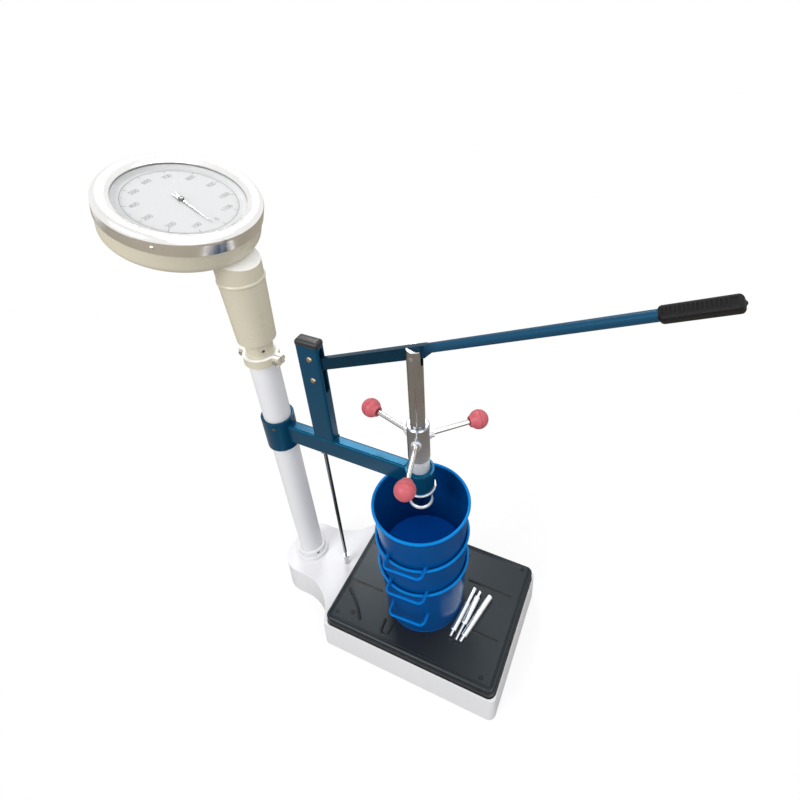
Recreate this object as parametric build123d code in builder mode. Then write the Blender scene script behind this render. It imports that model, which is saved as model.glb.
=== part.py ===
from build123d import *
import os
from math import asin, atan2, cos, degrees, pi, radians, sin, sqrt, tan

# Concrete penetration tester: a hand-lever press on a dial platform scale, with nested moulds and needles.
# Millimetres, +Z up. The press spindle runs on the Z axis and the base stands on z = 0. +X points from the
# column towards the lever's grip, and the press, column and dial all lie on the plane y = 0.

os.makedirs("parts", exist_ok=True)

# Fits
running_fit = 0.05
screw_fit = 0.05
seat_gap = 0.3
slack = 0.5

# Base casing
deck_height = 76.0
deck_thickness = 3.0
casing_wall = 2.5
casing_floor = 3.0
casing_flare = 3.5
casing_front_radius = 10.0
casing_rear_radius = 9.0
casing_edge_radius = 1.2
tail_half_width = 62.0
tail_end_x = -326.0
tail_end_radius = 46.0
shoulder_start_x = -262.0

# Platform
platform_length = 353.0
platform_width = 262.0
platform_centre_x = 15.0
platform_corner = 13.0
platform_gap = 1.5
platform_rise = 24.0
mat_thickness = 2.5
mat_border = 9.0
mat_field_drop = 1.0
mat_edge_radius = 2.0
skirt_lap = 3.0
plate_thickness = 2.5

# Scale levers in the base
pivot_radius = 4.0
lever_bar_width = 10.0
lever_bar_height = 14.0
lever_half_span = 85.0
fulcrum_inset = 21.5
load_arm = 70.0
lever_axis_z = 42.0
stem_width = 16.0
stem_overhang = 12.0
stand_length = 22.0
stand_width = 12.0
bearing_length = 16.0
bearing_width = 10.0
nose_radius = 4.0
platform_sink = 2.5

# Column
column_x = -279.0
column_radius = 24.0
column_wall = 2.0
column_top = 640.0
flange_radius = 35.0
flange_height = 9.0
socket_radius = 30.0
socket_height = 22.0
flange_edge_radius = 2.0
set_screw_radius = 3.0
set_screw_bearing = -28.0

# Bracket weldment
tube_height = 40.0
tube_width = 20.0
tube_wall = 2.5
tube_corner = 4.0
arm_top = 483.0
ring_radius = 29.0
ring_wall = 3.5
ring_drop = 53.0
ring_height = 68.0
ring_screw_height = 12.0
ring_screw_bearings = (70.0, 180.0, 290.0)
collar_radius = 24.0
collar_height = 42.0
post_centre_x = -178.0
post_top = 686.0
slot_width = 10.0
slot_bottom = 593.0
slot_top = 682.0
cap_height = 9.0
cap_plug_depth = 4.0
cap_edge_radius = 3.5
tie_rod_x = -189.0
tie_rod_radius = 3.5
tie_rod_end = 10.0
tie_nut_radius = 5.9
tie_nut_height = 6.0
tie_ferrule_radius = 6.0
tie_ferrule_height = 22.0

# Spindle, guide sleeve and chuck
spindle_radius = 12.0
spindle_top = 731.0
spindle_edge_radius = 1.0
sleeve_radius = 16.5
sleeve_flange_radius = 24.0
sleeve_flange_height = 3.5
sleeve_neck_radius = 14.5
sleeve_neck_height = 28.0
chuck_radius = 18.0
chuck_bottom = 400.0
chuck_height = 35.0
chuck_nose_chamfer = 4.0
chuck_thread_radius = 8.0
chuck_thread_depth = 16.0
chuck_screw_radius = 2.5
chuck_screw_height = 7.0

# Lock hub and star handle
hub_radius = 18.0
hub_rise = 29.0
hub_height = 73.0
hub_edge_chamfer = 2.0
collet_height = 9.0
collet_wall = 2.6
collet_taper = 0.8
collet_slit = 1.2
star_rise = 44.0
star_angle = 44.3
star_arms = 3
arm_radius = 4.0
arm_root_depth = 4.5
arm_nut_radius = 6.5
arm_nut_height = 7.0
ball_reach = 102.0
ball_radius = 16.0
ball_neck_radius = 9.0
ball_neck_length = 6.0
ball_neck_taper = 30.0
ball_socket_depth = 18.0

# Press lever
lever_rise = 24.3
lever_thickness = 8.0
lever_depth = 20.0
lever_inner_reach = 202.0
lever_end_radius = 4.0
lever_pin_drop = 4.1
fork_pin_radius = 3.0
fork_pin_z = 720.0
fork_slot_depth = 27.0
plate_reach = 36.0
plate_taper = 16.0
bar_radius = 7.0
bar_start = 24.0
bar_bend = 0.7
grip_start = 318.5
grip_length = 80.0
grip_size = 17.0
grip_corner = 3.5
grip_roll = 36.0
grip_end_radius = 3.0
grip_end_wall = 6.0
grip_ribs = 17
grip_rib_width = 2.2
grip_rib_height = 1.0
nub_radius = 4.5
nub_length = 3.0
fulcrum_pin_radius = 4.0
fulcrum_pin_x = -175.0
upper_pin_gap = 1.1
pin_spacing = 42.4
pin_head_radius = 5.0
pin_head_height = 2.0

# Neck and clamp
spigot_wall = 5.0
spigot_bottom = 585.0
neck_bottom = 670.0
neck_bottom_radius = 30.5
neck_top_radius = 34.0
neck_ridge_z = 779.0
neck_ridge = 1.4
neck_ridge_height = 6.0
neck_wall = 4.0
neck_edge_radius = 2.0
clamp_radius = 29.0
clamp_height = 15.0
clamp_split = 2.0
lug_reach = 39.0
lug_thickness = 7.0
clamp_screw_radius = 2.5
clamp_head_radius = 4.0
clamp_head_height = 3.0
key_width = 13.0
key_height = 12.0
key_depth = 3.0
key_z = 656.0
key_bearing = -35.0

# Dial head
head_tilt = 17.66
head_offset = -69.0
head_z = 897.2
bezel_radius = 110.0
bezel_opening = 87.0
bezel_depth = 24.0
bezel_wall = 1.6
bezel_shoulder = 8.0
bezel_lip = 4.5
glass_depth = 6.0
glass_thickness = 2.0
dial_depth = 12.0
dial_sheet = 1.0
dial_radius = 81.0
dial_hole_radius = 2.2
housing_depth = 58.0
housing_rear_radius = 108.0
housing_wall = 2.5
housing_edge_radius = 12.0
housing_ledge = 8.0
pointer_depth = 9.4
pointer_thickness = 0.8
pointer_reach = 64.0
pointer_tail = 18.0
pointer_width = 4.0
pointer_hub_radius = 4.5
pointer_sweep = 330.0
pointer_rest = 11.0

# Dial movement and weighing spring
crank_arm = 24.0
crank_pin_radius = 2.0
crank_hub_radius = 4.5
crank_hub_half = 8.0
crank_arm_half = 7.0
crank_plate = 4.0
crank_link_start = 3.5
crank_link_width = 10.0
crank_slot_play = 0.8
cheek_thickness = 2.0
cheek_width = 12.0
cheek_foot = 8.0
arbor_radius = 1.5
pinion_pitch_radius = 3.2
pinion_height = 4.0
rack_depth = 22.0
rack_thickness = 4.0
rack_width = 6.0
rack_tail = 27.0
rack_shank = 9.0
rack_tongue = 1.5
rack_pin_radius = 1.5
bridge_thickness = 3.0
bridge_half_length = 10.0
bridge_pillar_radius = 3.0
bridge_pillar_y = 11.0
rail_width = 2.2
draw_rod_radius = 2.0
draw_knob_radius = 4.5
draw_knob_height = 3.0
draw_knob_gap = 9.0
draw_nut_radius = 7.0
draw_nut_height = 8.0
draw_rod_tail = 4.0
spring_wire_radius = 1.83
spring_coil_radius = 12.0
spring_turns = 12
spring_top = 560.0
spring_length = 112.0
hanger_height = 8.0
spring_collar_radius = 15.0
spring_collar_height = 6.0

# Moulds
mould_x = 4.0
mould_y = -9.0
mould_mouth_radius = 80.0
mould_floor_radius = 75.0
mould_height = 152.0
mould_sheet = 1.2
rim_wire_radius = 2.5
stack_pitch = 79.0
mould_handle_radius = 2.75
mould_handle_half_width = 34.0
mould_handle_reach = 95.0
mould_handle_corner = 9.0
mould_handle_turn = 3.0

# Needles
needle_body_radius = 5.75
needle_body_length = 61.0
needle_tip_length = 34.0
needle_stub_radius = 3.0
needle_stub_length = 12.0
needle_chamfer = 1.0
needles = {
    "needle_100": (100.0, (104.0, -71.0), 77.0),
    "needle_50": (50.0, (83.0, -69.0), 84.1),
    "needle_20": (20.0, (106.5, 35.0), 264.1),
}

# Places that follow from the sizes above
rim_front = platform_centre_x + platform_length / 2 + platform_gap + casing_wall
rim_rear = platform_centre_x - platform_length / 2 - platform_gap - casing_wall
rim_half = platform_width / 2 + platform_gap + casing_wall
flare_angle = degrees(asin(casing_flare / deck_height))
platform_top = deck_height + platform_rise
skirt_bottom = deck_height - skirt_lap
field_z = platform_top - mat_field_drop
plate_top = field_z - mat_thickness
main_fulcrum_x = platform_centre_x + platform_length / 2 - fulcrum_inset
short_fulcrum_x = platform_centre_x - platform_length / 2 + fulcrum_inset
main_load_x = main_fulcrum_x - load_arm
short_load_x = short_fulcrum_x + load_arm
main_apex_x = short_load_x
meet_x = (main_fulcrum_x + short_fulcrum_x) / 2
bar_bottom = lever_axis_z - lever_bar_height / 2
bar_top = lever_axis_z + lever_bar_height / 2
draw_travel = platform_sink * (main_fulcrum_x - column_x) / load_arm
rest_share = pointer_rest / pointer_sweep
column_bore = column_radius - column_wall
arm_bottom = arm_top - tube_height
ring_bottom = arm_top - ring_drop
hub_bottom = arm_top + hub_rise
star_height = hub_bottom + star_rise
collar_bottom = arm_top - collar_height
sleeve_bottom = collar_bottom - sleeve_flange_height
sleeve_bore = spindle_radius + running_fit
sleeve_shoulder = hub_bottom - seat_gap
sleeve_top = sleeve_shoulder + sleeve_neck_height
collet_bottom = sleeve_top + seat_gap
collet_radius = sleeve_bore + collet_wall
chuck_top = chuck_bottom + chuck_height
rise = radians(lever_rise)
rack_travel = pinion_pitch_radius * radians(pointer_sweep)
crank_swing = draw_travel / crank_arm
crank_link = rack_travel / crank_swing
pivot_depth = rack_depth + crank_link
cup_radius = bezel_radius - bezel_wall - screw_fit
cup_rim_depth = glass_depth + glass_thickness + seat_gap + dial_sheet
neck_reach = head_z
spigot_radius = column_bore - running_fit
spigot_bore = spigot_radius - spigot_wall

# Planes: sections along the column and the tilted head, and the head's face
tilt = radians(head_tilt)
column_section = Plane(origin=(column_x, 0, 0), x_dir=(1, 0, 0), z_dir=(0, -1, 0))
column_axis = Axis((column_x, 0, 0), (0, 0, 1))
head_centre = Vector(column_x + head_offset, 0, head_z)
head = Plane(origin=head_centre, x_dir=(cos(tilt), 0, -sin(tilt)), z_dir=(sin(tilt), 0, cos(tilt)))
head_section = Plane(origin=head_centre, x_dir=head.x_dir, z_dir=(0, -1, 0))
head_axis = Axis(head_centre, head.z_dir)

ON_BASE = (Align.CENTER, Align.CENTER, Align.MIN)
UNDER_TOP = (Align.CENTER, Align.CENTER, Align.MAX)


def save(builder, name):
    """Label a finished piece and write it to its own file."""
    builder.part.label = name
    export_step(builder.part, f"parts/{name}.step")


def bearing_plane(x, y, z, bearing):
    """Plane that faces outwards along a compass bearing, measured from +X."""
    return Plane(origin=(x, y, z), z_dir=(cos(radians(bearing)), sin(radians(bearing)), 0))


def casing_plan(inset):
    """Plan of the casing: the platform's box, and a tail that narrows in two hollow shoulders."""
    with BuildSketch() as plan:
        with BuildLine():
            front = Line((rim_front, rim_half), (rim_front, -rim_half))
            side = Line(front @ 1, (rim_rear, -rim_half))
            TangentArc((shoulder_start_x, -tail_half_width), side @ 1, tangent=(1, 0))
            tail = Line((shoulder_start_x, -tail_half_width), (tail_end_x, -tail_half_width))
            end = Line(tail @ 1, (tail_end_x, tail_half_width))
            back = Line(end @ 1, (shoulder_start_x, tail_half_width))
            TangentArc(back @ 1, (rim_rear, rim_half), tangent=(1, 0))
            Line((rim_rear, rim_half), front @ 0)
        make_face()
        fillet(plan.vertices().group_by(Axis.X)[-1], casing_front_radius)
        fillet(plan.vertices().group_by(Axis.X)[0], tail_end_radius)
        fillet(plan.vertices().filter_by_position(Axis.X, rim_rear - 1, rim_rear + 1), casing_rear_radius)
        if inset > 0:
            offset(amount=-inset, mode=Mode.REPLACE)
    return plan.sketch


# Base casing: a flared tray with a closed deck on its tail and an open well for the platform
with BuildPart() as base_casing:
    with BuildSketch(Plane.XY.offset(deck_height)):
        add(casing_plan(0))
    extrude(amount=-deck_height, taper=-flare_angle)
    fillet(base_casing.faces().sort_by(Axis.Z)[-1].edges(), casing_edge_radius)
    with BuildSketch(Plane.XY.offset(deck_height - deck_thickness)):
        add(casing_plan(casing_wall))
    extrude(amount=casing_floor + deck_thickness - deck_height, taper=-flare_angle, mode=Mode.SUBTRACT)
    with BuildSketch(Plane.XY.offset(deck_height)):
        with Locations((platform_centre_x, 0)):
            well_length = platform_length + 2 * platform_gap
            well_width = platform_width + 2 * platform_gap
            RectangleRounded(well_length, well_width, platform_corner + platform_gap)
    extrude(amount=-deck_thickness, mode=Mode.SUBTRACT)
    with Locations((column_x, 0, deck_height)):
        Cylinder(column_bore, deck_thickness, align=UNDER_TOP, mode=Mode.SUBTRACT)
    with Locations((tie_rod_x, 0, deck_height)):
        Cylinder(tie_rod_radius + screw_fit, deck_thickness, align=UNDER_TOP, mode=Mode.SUBTRACT)
save(base_casing, "base_casing")

# Fulcrum stands: four posts on the casing's floor, each with a saddle for a lever's pivot
stand_y = lever_half_span + lever_bar_width / 2 + slack + stand_width / 2
with BuildPart() as fulcrum_stands:
    for x in (main_fulcrum_x, short_fulcrum_x):
        with Locations((x, -stand_y, casing_floor), (x, stand_y, casing_floor)):
            Box(stand_length, stand_width, lever_axis_z - casing_floor, align=ON_BASE)
        with Locations((x, -stand_y, lever_axis_z), (x, stand_y, lever_axis_z)):
            saddle = pivot_radius + running_fit
            Cylinder(saddle, stand_width, rotation=(90, 0, 0), mode=Mode.SUBTRACT)
save(fulcrum_stands, "fulcrum_stands")

# Platform plate: a pressed steel lid with a turned-down skirt
lid_length = platform_length - 2 * mat_thickness
lid_width = platform_width - 2 * mat_thickness
lid_corner = platform_corner - mat_thickness
with BuildPart() as platform_plate:
    with BuildSketch(Plane.XY.offset(skirt_bottom)):
        with Locations((platform_centre_x, 0)):
            RectangleRounded(lid_length, lid_width, lid_corner)
    extrude(amount=plate_top - skirt_bottom)
    with BuildSketch(Plane.XY.offset(skirt_bottom)):
        with Locations((platform_centre_x, 0)):
            inner_length = lid_length - 2 * plate_thickness
            inner_width = lid_width - 2 * plate_thickness
            RectangleRounded(inner_length, inner_width, lid_corner - plate_thickness)
    extrude(amount=plate_top - plate_thickness - skirt_bottom, mode=Mode.SUBTRACT)
save(platform_plate, "platform_plate")

# Platform mat: a moulded rubber cover over the plate, with a raised border
with BuildPart() as platform_mat:
    with BuildSketch(Plane.XY.offset(skirt_bottom)):
        with Locations((platform_centre_x, 0)):
            RectangleRounded(platform_length, platform_width, platform_corner)
    extrude(amount=platform_top - skirt_bottom)
    fillet(platform_mat.faces().sort_by(Axis.Z)[-1].edges(), mat_edge_radius)
    with BuildSketch(Plane.XY.offset(skirt_bottom)):
        with Locations((platform_centre_x, 0)):
            RectangleRounded(lid_length, lid_width, lid_corner)
    extrude(amount=plate_top - skirt_bottom, mode=Mode.SUBTRACT)
    with BuildSketch(Plane.XY.offset(platform_top)):
        with Locations((platform_centre_x, 0)):
            field_length = platform_length - 2 * mat_border
            field_width = platform_width - 2 * mat_border
            RectangleRounded(field_length, field_width, platform_corner - mat_edge_radius)
    extrude(amount=-mat_field_drop, mode=Mode.SUBTRACT)
save(platform_mat, "platform_mat")

# Platform bearings: four legs under the plate, each riding on a lever's load pivot
leg_top = plate_top - plate_thickness
leg_y = lever_half_span + lever_bar_width / 2 + slack + bearing_width / 2
with BuildPart() as platform_bearings:
    for x in (main_load_x, short_load_x):
        with Locations((x, -leg_y, leg_top), (x, leg_y, leg_top)):
            Box(bearing_length, bearing_width, leg_top - lever_axis_z, align=UNDER_TOP)
        with Locations((x, -leg_y, lever_axis_z), (x, leg_y, lever_axis_z)):
            saddle = pivot_radius + seat_gap
            Cylinder(saddle, bearing_width, rotation=(90, 0, 0), mode=Mode.SUBTRACT)
save(platform_bearings, "platform_bearings")


def flat_bar(start, end, width):
    """Round-ended bar between two points of a plan, in the sketch being drawn."""
    run = Vector(*end) - Vector(*start)
    with Locations((Vector(*start) + Vector(*end)) / 2):
        SlotCenterToCenter(run.length, width, rotation=degrees(atan2(run.Y, run.X)))


def pivot_pair(x, width):
    """Pivot stubs on both side bars of a scale lever, reaching across a support of the given width."""
    length = lever_bar_width + slack + width
    middle = lever_half_span + (slack + width) / 2
    with Locations((x, -middle, lever_axis_z), (x, middle, lever_axis_z)):
        Cylinder(pivot_radius, length, rotation=(90, 0, 0))


# Main scale lever: a V from the front fulcrum, with a cross bar and a stem that reaches under the column
meet_half = lever_half_span * (meet_x - main_apex_x) / (main_load_x - main_apex_x)
with BuildPart() as main_lever:
    with BuildSketch(Plane.XY.offset(bar_bottom)):
        for y in (-lever_half_span, lever_half_span):
            flat_bar((main_fulcrum_x, y), (main_load_x, y), lever_bar_width)
            flat_bar((main_load_x, y), (main_apex_x, 0), lever_bar_width)
        flat_bar((meet_x, -meet_half), (meet_x, meet_half), lever_bar_width)
        flat_bar((main_apex_x, 0), (column_x - stem_overhang + stem_width / 2, 0), stem_width)
        with Locations((column_x, 0)):
            eye = 2 * (draw_rod_radius + slack)
            SlotOverall(2 * eye, eye, mode=Mode.SUBTRACT)
    extrude(amount=lever_bar_height)
    pivot_pair(main_fulcrum_x, stand_width)
    pivot_pair(main_load_x, bearing_width)
save(main_lever, "main_lever")

# Short scale lever: a V from the rear fulcrum, whose raised nose bears on the main lever's cross bar
nose_z = bar_top + seat_gap + nose_radius
riser_x = short_load_x + pivot_radius + seat_gap + lever_bar_width
with BuildPart() as short_lever:
    with BuildSketch(Plane.XY.offset(bar_bottom)):
        for y in (-lever_half_span, lever_half_span):
            flat_bar((short_fulcrum_x, y), (riser_x, y), lever_bar_width)
    extrude(amount=lever_bar_height)
    with BuildSketch(Plane.XY.offset(nose_z)):
        for y in (-lever_half_span, lever_half_span):
            flat_bar((riser_x, y), (meet_x, 0), lever_bar_width)
    extrude(amount=lever_bar_height)
    with Locations((riser_x, -lever_half_span, bar_bottom), (riser_x, lever_half_span, bar_bottom)):
        riser_height = nose_z + lever_bar_height - bar_bottom
        Cylinder(lever_bar_width / 2, riser_height, align=ON_BASE)
    with Locations((meet_x, 0, nose_z)):
        Cylinder(nose_radius, lever_bar_width, rotation=(90, 0, 0))
    pivot_pair(short_fulcrum_x, stand_width)
    pivot_pair(short_load_x, bearing_width)
save(short_lever, "short_lever")

# Column flange: a stepped socket on the deck, with a set screw into the tube
with BuildPart() as column_flange:
    with Locations((column_x, 0, deck_height)):
        Cylinder(flange_radius, flange_height, align=ON_BASE)
    fillet(column_flange.edges().group_by(Axis.Z)[-1], flange_edge_radius)
    with Locations((column_x, 0, deck_height)):
        Cylinder(socket_radius, socket_height, align=ON_BASE)
    fillet(column_flange.edges().group_by(Axis.Z)[-1], flange_edge_radius)
    with Locations((column_x, 0, deck_height)):
        Cylinder(column_radius + screw_fit, socket_height, align=ON_BASE, mode=Mode.SUBTRACT)
    socket_screw_z = deck_height + (flange_height + socket_height) / 2
    socket_screw = bearing_plane(column_x, 0, socket_screw_z, set_screw_bearing)
    with BuildSketch(socket_screw):
        Circle(set_screw_radius + screw_fit)
    extrude(amount=socket_radius, mode=Mode.SUBTRACT)
save(column_flange, "column_flange")

with BuildPart() as flange_screw:
    with BuildSketch(socket_screw.offset(column_radius + screw_fit)):
        Circle(set_screw_radius)
    extrude(amount=socket_radius - column_radius - screw_fit)
save(flange_screw, "flange_screw")

# Column tube
with BuildPart() as column_tube:
    with Locations((column_x, 0, deck_height)):
        Cylinder(column_radius, column_top - deck_height, align=ON_BASE)
        Cylinder(column_bore, column_top - deck_height, align=ON_BASE, mode=Mode.SUBTRACT)
save(column_tube, "column_tube")

# Bracket weldment: column ring, box-tube arm, slotted post and spindle collar
arm_z = arm_top - tube_height / 2
ring_screw_z = ring_bottom + ring_height - ring_screw_height
lever_at_pin = fork_pin_z + lever_pin_drop / cos(rise) + fulcrum_pin_x * tan(rise)
upper_pin_z = lever_at_pin + (lever_depth / 2 + fulcrum_pin_radius + upper_pin_gap) / cos(rise)
lower_pin_z = upper_pin_z - pin_spacing
inside_height = tube_height - 2 * tube_wall
inside_width = tube_width - 2 * tube_wall
inside_corner = tube_corner - tube_wall
with BuildPart() as bracket_frame:
    with BuildSketch(Plane(origin=(column_x, 0, arm_z), x_dir=(0, 0, 1), z_dir=(1, 0, 0))):
        RectangleRounded(tube_height, tube_width, tube_corner)
    extrude(amount=-column_x)
    with BuildSketch(Plane(origin=(post_centre_x, 0, arm_z))):
        RectangleRounded(tube_height, tube_width, tube_corner)
    extrude(amount=post_top - arm_z)
    with Locations((column_x, 0, ring_bottom)):
        Cylinder(ring_radius, ring_height, align=ON_BASE)
    with Locations((0, 0, collar_bottom)):
        Cylinder(collar_radius, collar_height, align=ON_BASE)
    with BuildSketch(Plane(origin=(column_x + ring_radius, 0, arm_z), x_dir=(0, 0, 1), z_dir=(1, 0, 0))):
        RectangleRounded(inside_height, inside_width, inside_corner)
    extrude(amount=-column_x - ring_radius - collar_radius, mode=Mode.SUBTRACT)
    with BuildSketch(Plane(origin=(post_centre_x, 0, arm_top))):
        RectangleRounded(inside_height, inside_width, inside_corner)
    extrude(amount=post_top - arm_top, mode=Mode.SUBTRACT)
    with Locations((column_x, 0, ring_bottom)):
        Cylinder(ring_radius - ring_wall, ring_height, align=ON_BASE, mode=Mode.SUBTRACT)
    with Locations((0, 0, collar_bottom)):
        Cylinder(sleeve_radius + screw_fit, collar_height, align=ON_BASE, mode=Mode.SUBTRACT)
    slot_start = (post_centre_x - tube_height / 2, 0, (slot_bottom + slot_top) / 2)
    with BuildSketch(Plane(origin=slot_start, x_dir=(0, 0, 1), z_dir=(1, 0, 0))):
        SlotOverall(slot_top - slot_bottom, slot_width)
    extrude(amount=tube_height, mode=Mode.SUBTRACT)
    with Locations((fulcrum_pin_x, 0, upper_pin_z), (fulcrum_pin_x, 0, lower_pin_z)):
        Cylinder(fulcrum_pin_radius + screw_fit, tube_width, rotation=(90, 0, 0), mode=Mode.SUBTRACT)
    with Locations((tie_rod_x, 0, arm_bottom)):
        Cylinder(tie_rod_radius + screw_fit, tube_wall, align=ON_BASE, mode=Mode.SUBTRACT)
    for bearing in ring_screw_bearings:
        with BuildSketch(bearing_plane(column_x, 0, ring_screw_z, bearing)):
            Circle(set_screw_radius + screw_fit)
        extrude(amount=ring_radius, mode=Mode.SUBTRACT)
save(bracket_frame, "bracket_frame")

# Set screws that grip the column inside the ring
with BuildPart() as ring_screws:
    for bearing in ring_screw_bearings:
        with BuildSketch(bearing_plane(column_x, 0, ring_screw_z, bearing).offset(column_radius + screw_fit)):
            Circle(set_screw_radius)
        extrude(amount=ring_radius - column_radius - screw_fit)
save(ring_screws, "ring_screws")

# Plastic plug in the post's open top
with BuildPart() as post_cap:
    with BuildSketch(Plane(origin=(post_centre_x, 0, post_top))):
        RectangleRounded(tube_height, tube_width, tube_corner)
    extrude(amount=cap_height)
    fillet(post_cap.faces().sort_by(Axis.Z)[-1].edges(), cap_edge_radius)
    with BuildSketch(Plane(origin=(post_centre_x, 0, post_top))):
        RectangleRounded(inside_height - 2 * screw_fit, inside_width - 2 * screw_fit, inside_corner)
    extrude(amount=-cap_plug_depth)
save(post_cap, "post_cap")

# Fulcrum pins: the lever's inner end works between these two cross pins, which are headed at both ends
with BuildPart() as fulcrum_pins:
    for z in (upper_pin_z, lower_pin_z):
        with Locations((fulcrum_pin_x, 0, z)):
            Cylinder(fulcrum_pin_radius, tube_width, rotation=(90, 0, 0))
        for side in (-1, 1):
            with BuildSketch(Plane(origin=(fulcrum_pin_x, side * tube_width / 2, z), z_dir=(0, side, 0))):
                Circle(pin_head_radius)
            extrude(amount=pin_head_height, taper=35)
save(fulcrum_pins, "fulcrum_pins")

# Tie rod: takes the press force from the arm down to the base, with nuts at both ends
tie_bottom = deck_height - deck_thickness - tie_nut_height - tie_rod_end / 2
tie_top = arm_bottom + tube_wall + tie_nut_height + tie_rod_end / 2
with BuildPart() as tie_rod:
    with Locations((tie_rod_x, 0, tie_bottom)):
        Cylinder(tie_rod_radius, tie_top - tie_bottom, align=ON_BASE)
save(tie_rod, "tie_rod")

tie_nut_places = (
    deck_height - deck_thickness - tie_nut_height,
    deck_height,
    arm_bottom - tie_nut_height,
    arm_bottom + tube_wall,
)
with BuildPart() as tie_rod_nuts:
    for z in tie_nut_places:
        with BuildSketch(Plane(origin=(tie_rod_x, 0, z))):
            RegularPolygon(tie_nut_radius, 6, major_radius=False)
            Circle(tie_rod_radius + screw_fit, mode=Mode.SUBTRACT)
        extrude(amount=tie_nut_height)
    with BuildSketch(Plane(origin=(tie_rod_x, 0, deck_height + tie_nut_height))):
        Circle(tie_ferrule_radius)
        Circle(tie_rod_radius + screw_fit, mode=Mode.SUBTRACT)
    extrude(amount=tie_ferrule_height)
save(tie_rod_nuts, "tie_rod_nuts")

# Guide sleeve: a chromed bush through the collar, flanged below, with a threaded neck for the hub above
with BuildPart() as guide_sleeve:
    with BuildSketch(Plane.XZ):
        with BuildLine():
            Polyline(
                (sleeve_bore, sleeve_bottom),
                (sleeve_flange_radius, sleeve_bottom),
                (sleeve_flange_radius, collar_bottom),
                (sleeve_radius, collar_bottom),
                (sleeve_radius, sleeve_shoulder),
                (sleeve_neck_radius, sleeve_shoulder),
                (sleeve_neck_radius, sleeve_top),
                (sleeve_bore, sleeve_top),
                close=True,
            )
        make_face()
    revolve(axis=Axis.Z)
save(guide_sleeve, "guide_sleeve")

# Split collet between the sleeve and the hub's shoulder, which the hub squeezes on the spindle
with BuildPart() as spindle_collet:
    with BuildSketch(Plane.XZ):
        with BuildLine():
            Polyline(
                (sleeve_bore, collet_bottom),
                (collet_radius, collet_bottom),
                (collet_radius - collet_taper, collet_bottom + collet_height),
                (sleeve_bore, collet_bottom + collet_height),
                close=True,
            )
        make_face()
    revolve(axis=Axis.Z)
    with Locations((0, 0, collet_bottom)):
        slit_align = (Align.MIN, Align.CENTER, Align.MIN)
        Box(collet_radius, collet_slit, collet_height, align=slit_align, mode=Mode.SUBTRACT)
save(spindle_collet, "spindle_collet")

# Lock hub: a long nut on the sleeve's neck, turned by the star handle
hub_top = hub_bottom + hub_height
hub_shoulder = collet_bottom + collet_height + seat_gap
hub_thread = sleeve_neck_radius + running_fit
hub_mouth = spindle_radius + seat_gap
arm_root = hub_radius - arm_root_depth
star_planes = [bearing_plane(0, 0, star_height, star_angle + 360 / star_arms * i) for i in range(star_arms)]
with BuildPart() as lock_hub:
    with BuildSketch(Plane.XZ):
        with BuildLine():
            Polyline(
                (hub_thread, hub_bottom),
                (hub_radius, hub_bottom),
                (hub_radius, hub_top),
                (hub_mouth, hub_top),
                (hub_mouth, hub_shoulder),
                (collet_radius + slack, hub_shoulder),
                (collet_radius + slack, collet_bottom),
                (hub_thread, collet_bottom),
                close=True,
            )
        make_face()
    revolve(axis=Axis.Z)
    chamfer(lock_hub.edges().group_by(Axis.Z)[-1].sort_by(SortBy.LENGTH)[-1], hub_edge_chamfer)
    for star in star_planes:
        with BuildSketch(star.offset(arm_root)):
            Circle(arm_radius + screw_fit)
        extrude(amount=hub_radius, mode=Mode.SUBTRACT)
save(lock_hub, "lock_hub")

# Star handle: rods with lock nuts against the hub and a necked ball knob on each end
ball_mouth = ball_reach - ball_radius
with BuildPart() as star_rods:
    for star in star_planes:
        with BuildSketch(star.offset(arm_root)):
            Circle(arm_radius)
        extrude(amount=ball_mouth + ball_socket_depth - arm_root)
save(star_rods, "star_rods")

with BuildPart() as star_nuts:
    for star in star_planes:
        with BuildSketch(star.offset(hub_radius)):
            RegularPolygon(arm_nut_radius, 6, major_radius=False)
            Circle(arm_radius + screw_fit, mode=Mode.SUBTRACT)
        extrude(amount=arm_nut_height)
save(star_nuts, "star_nuts")

with BuildPart() as ball_knobs:
    for star in star_planes:
        with Locations(star.offset(ball_reach)):
            Sphere(ball_radius)
        with BuildSketch(star.offset(ball_mouth)):
            Circle(ball_neck_radius)
        extrude(amount=ball_neck_length, taper=-ball_neck_taper)
        with BuildSketch(star.offset(ball_mouth)):
            Circle(arm_radius + screw_fit)
        extrude(amount=ball_socket_depth, mode=Mode.SUBTRACT)
save(ball_knobs, "ball_knobs")

# Spindle: a ground rod with a fork for the lever at its top and a threaded end for the chuck
fork_width = lever_thickness + 2 * slack
with BuildPart() as spindle:
    with Locations((0, 0, chuck_top)):
        Cylinder(spindle_radius, spindle_top - chuck_top, align=ON_BASE)
    fillet(spindle.edges().group_by(Axis.Z)[-1], spindle_edge_radius)
    with Locations((0, 0, chuck_top)):
        Cylinder(chuck_thread_radius, chuck_thread_depth, align=UNDER_TOP)
    with BuildSketch(Plane.YZ.offset(-spindle_radius)):
        with Locations((0, spindle_top)):
            SlotOverall(2 * fork_slot_depth, fork_width, rotation=90)
    extrude(amount=2 * spindle_radius, mode=Mode.SUBTRACT)
    with Locations((0, 0, fork_pin_z)):
        Cylinder(fork_pin_radius + screw_fit, 2 * spindle_radius, rotation=(90, 0, 0), mode=Mode.SUBTRACT)
save(spindle, "spindle")

with BuildPart() as fork_pin:
    with Locations((0, 0, fork_pin_z)):
        Cylinder(fork_pin_radius, 2 * sqrt(spindle_radius**2 - fork_pin_radius**2), rotation=(90, 0, 0))
save(fork_pin, "fork_pin")

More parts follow.
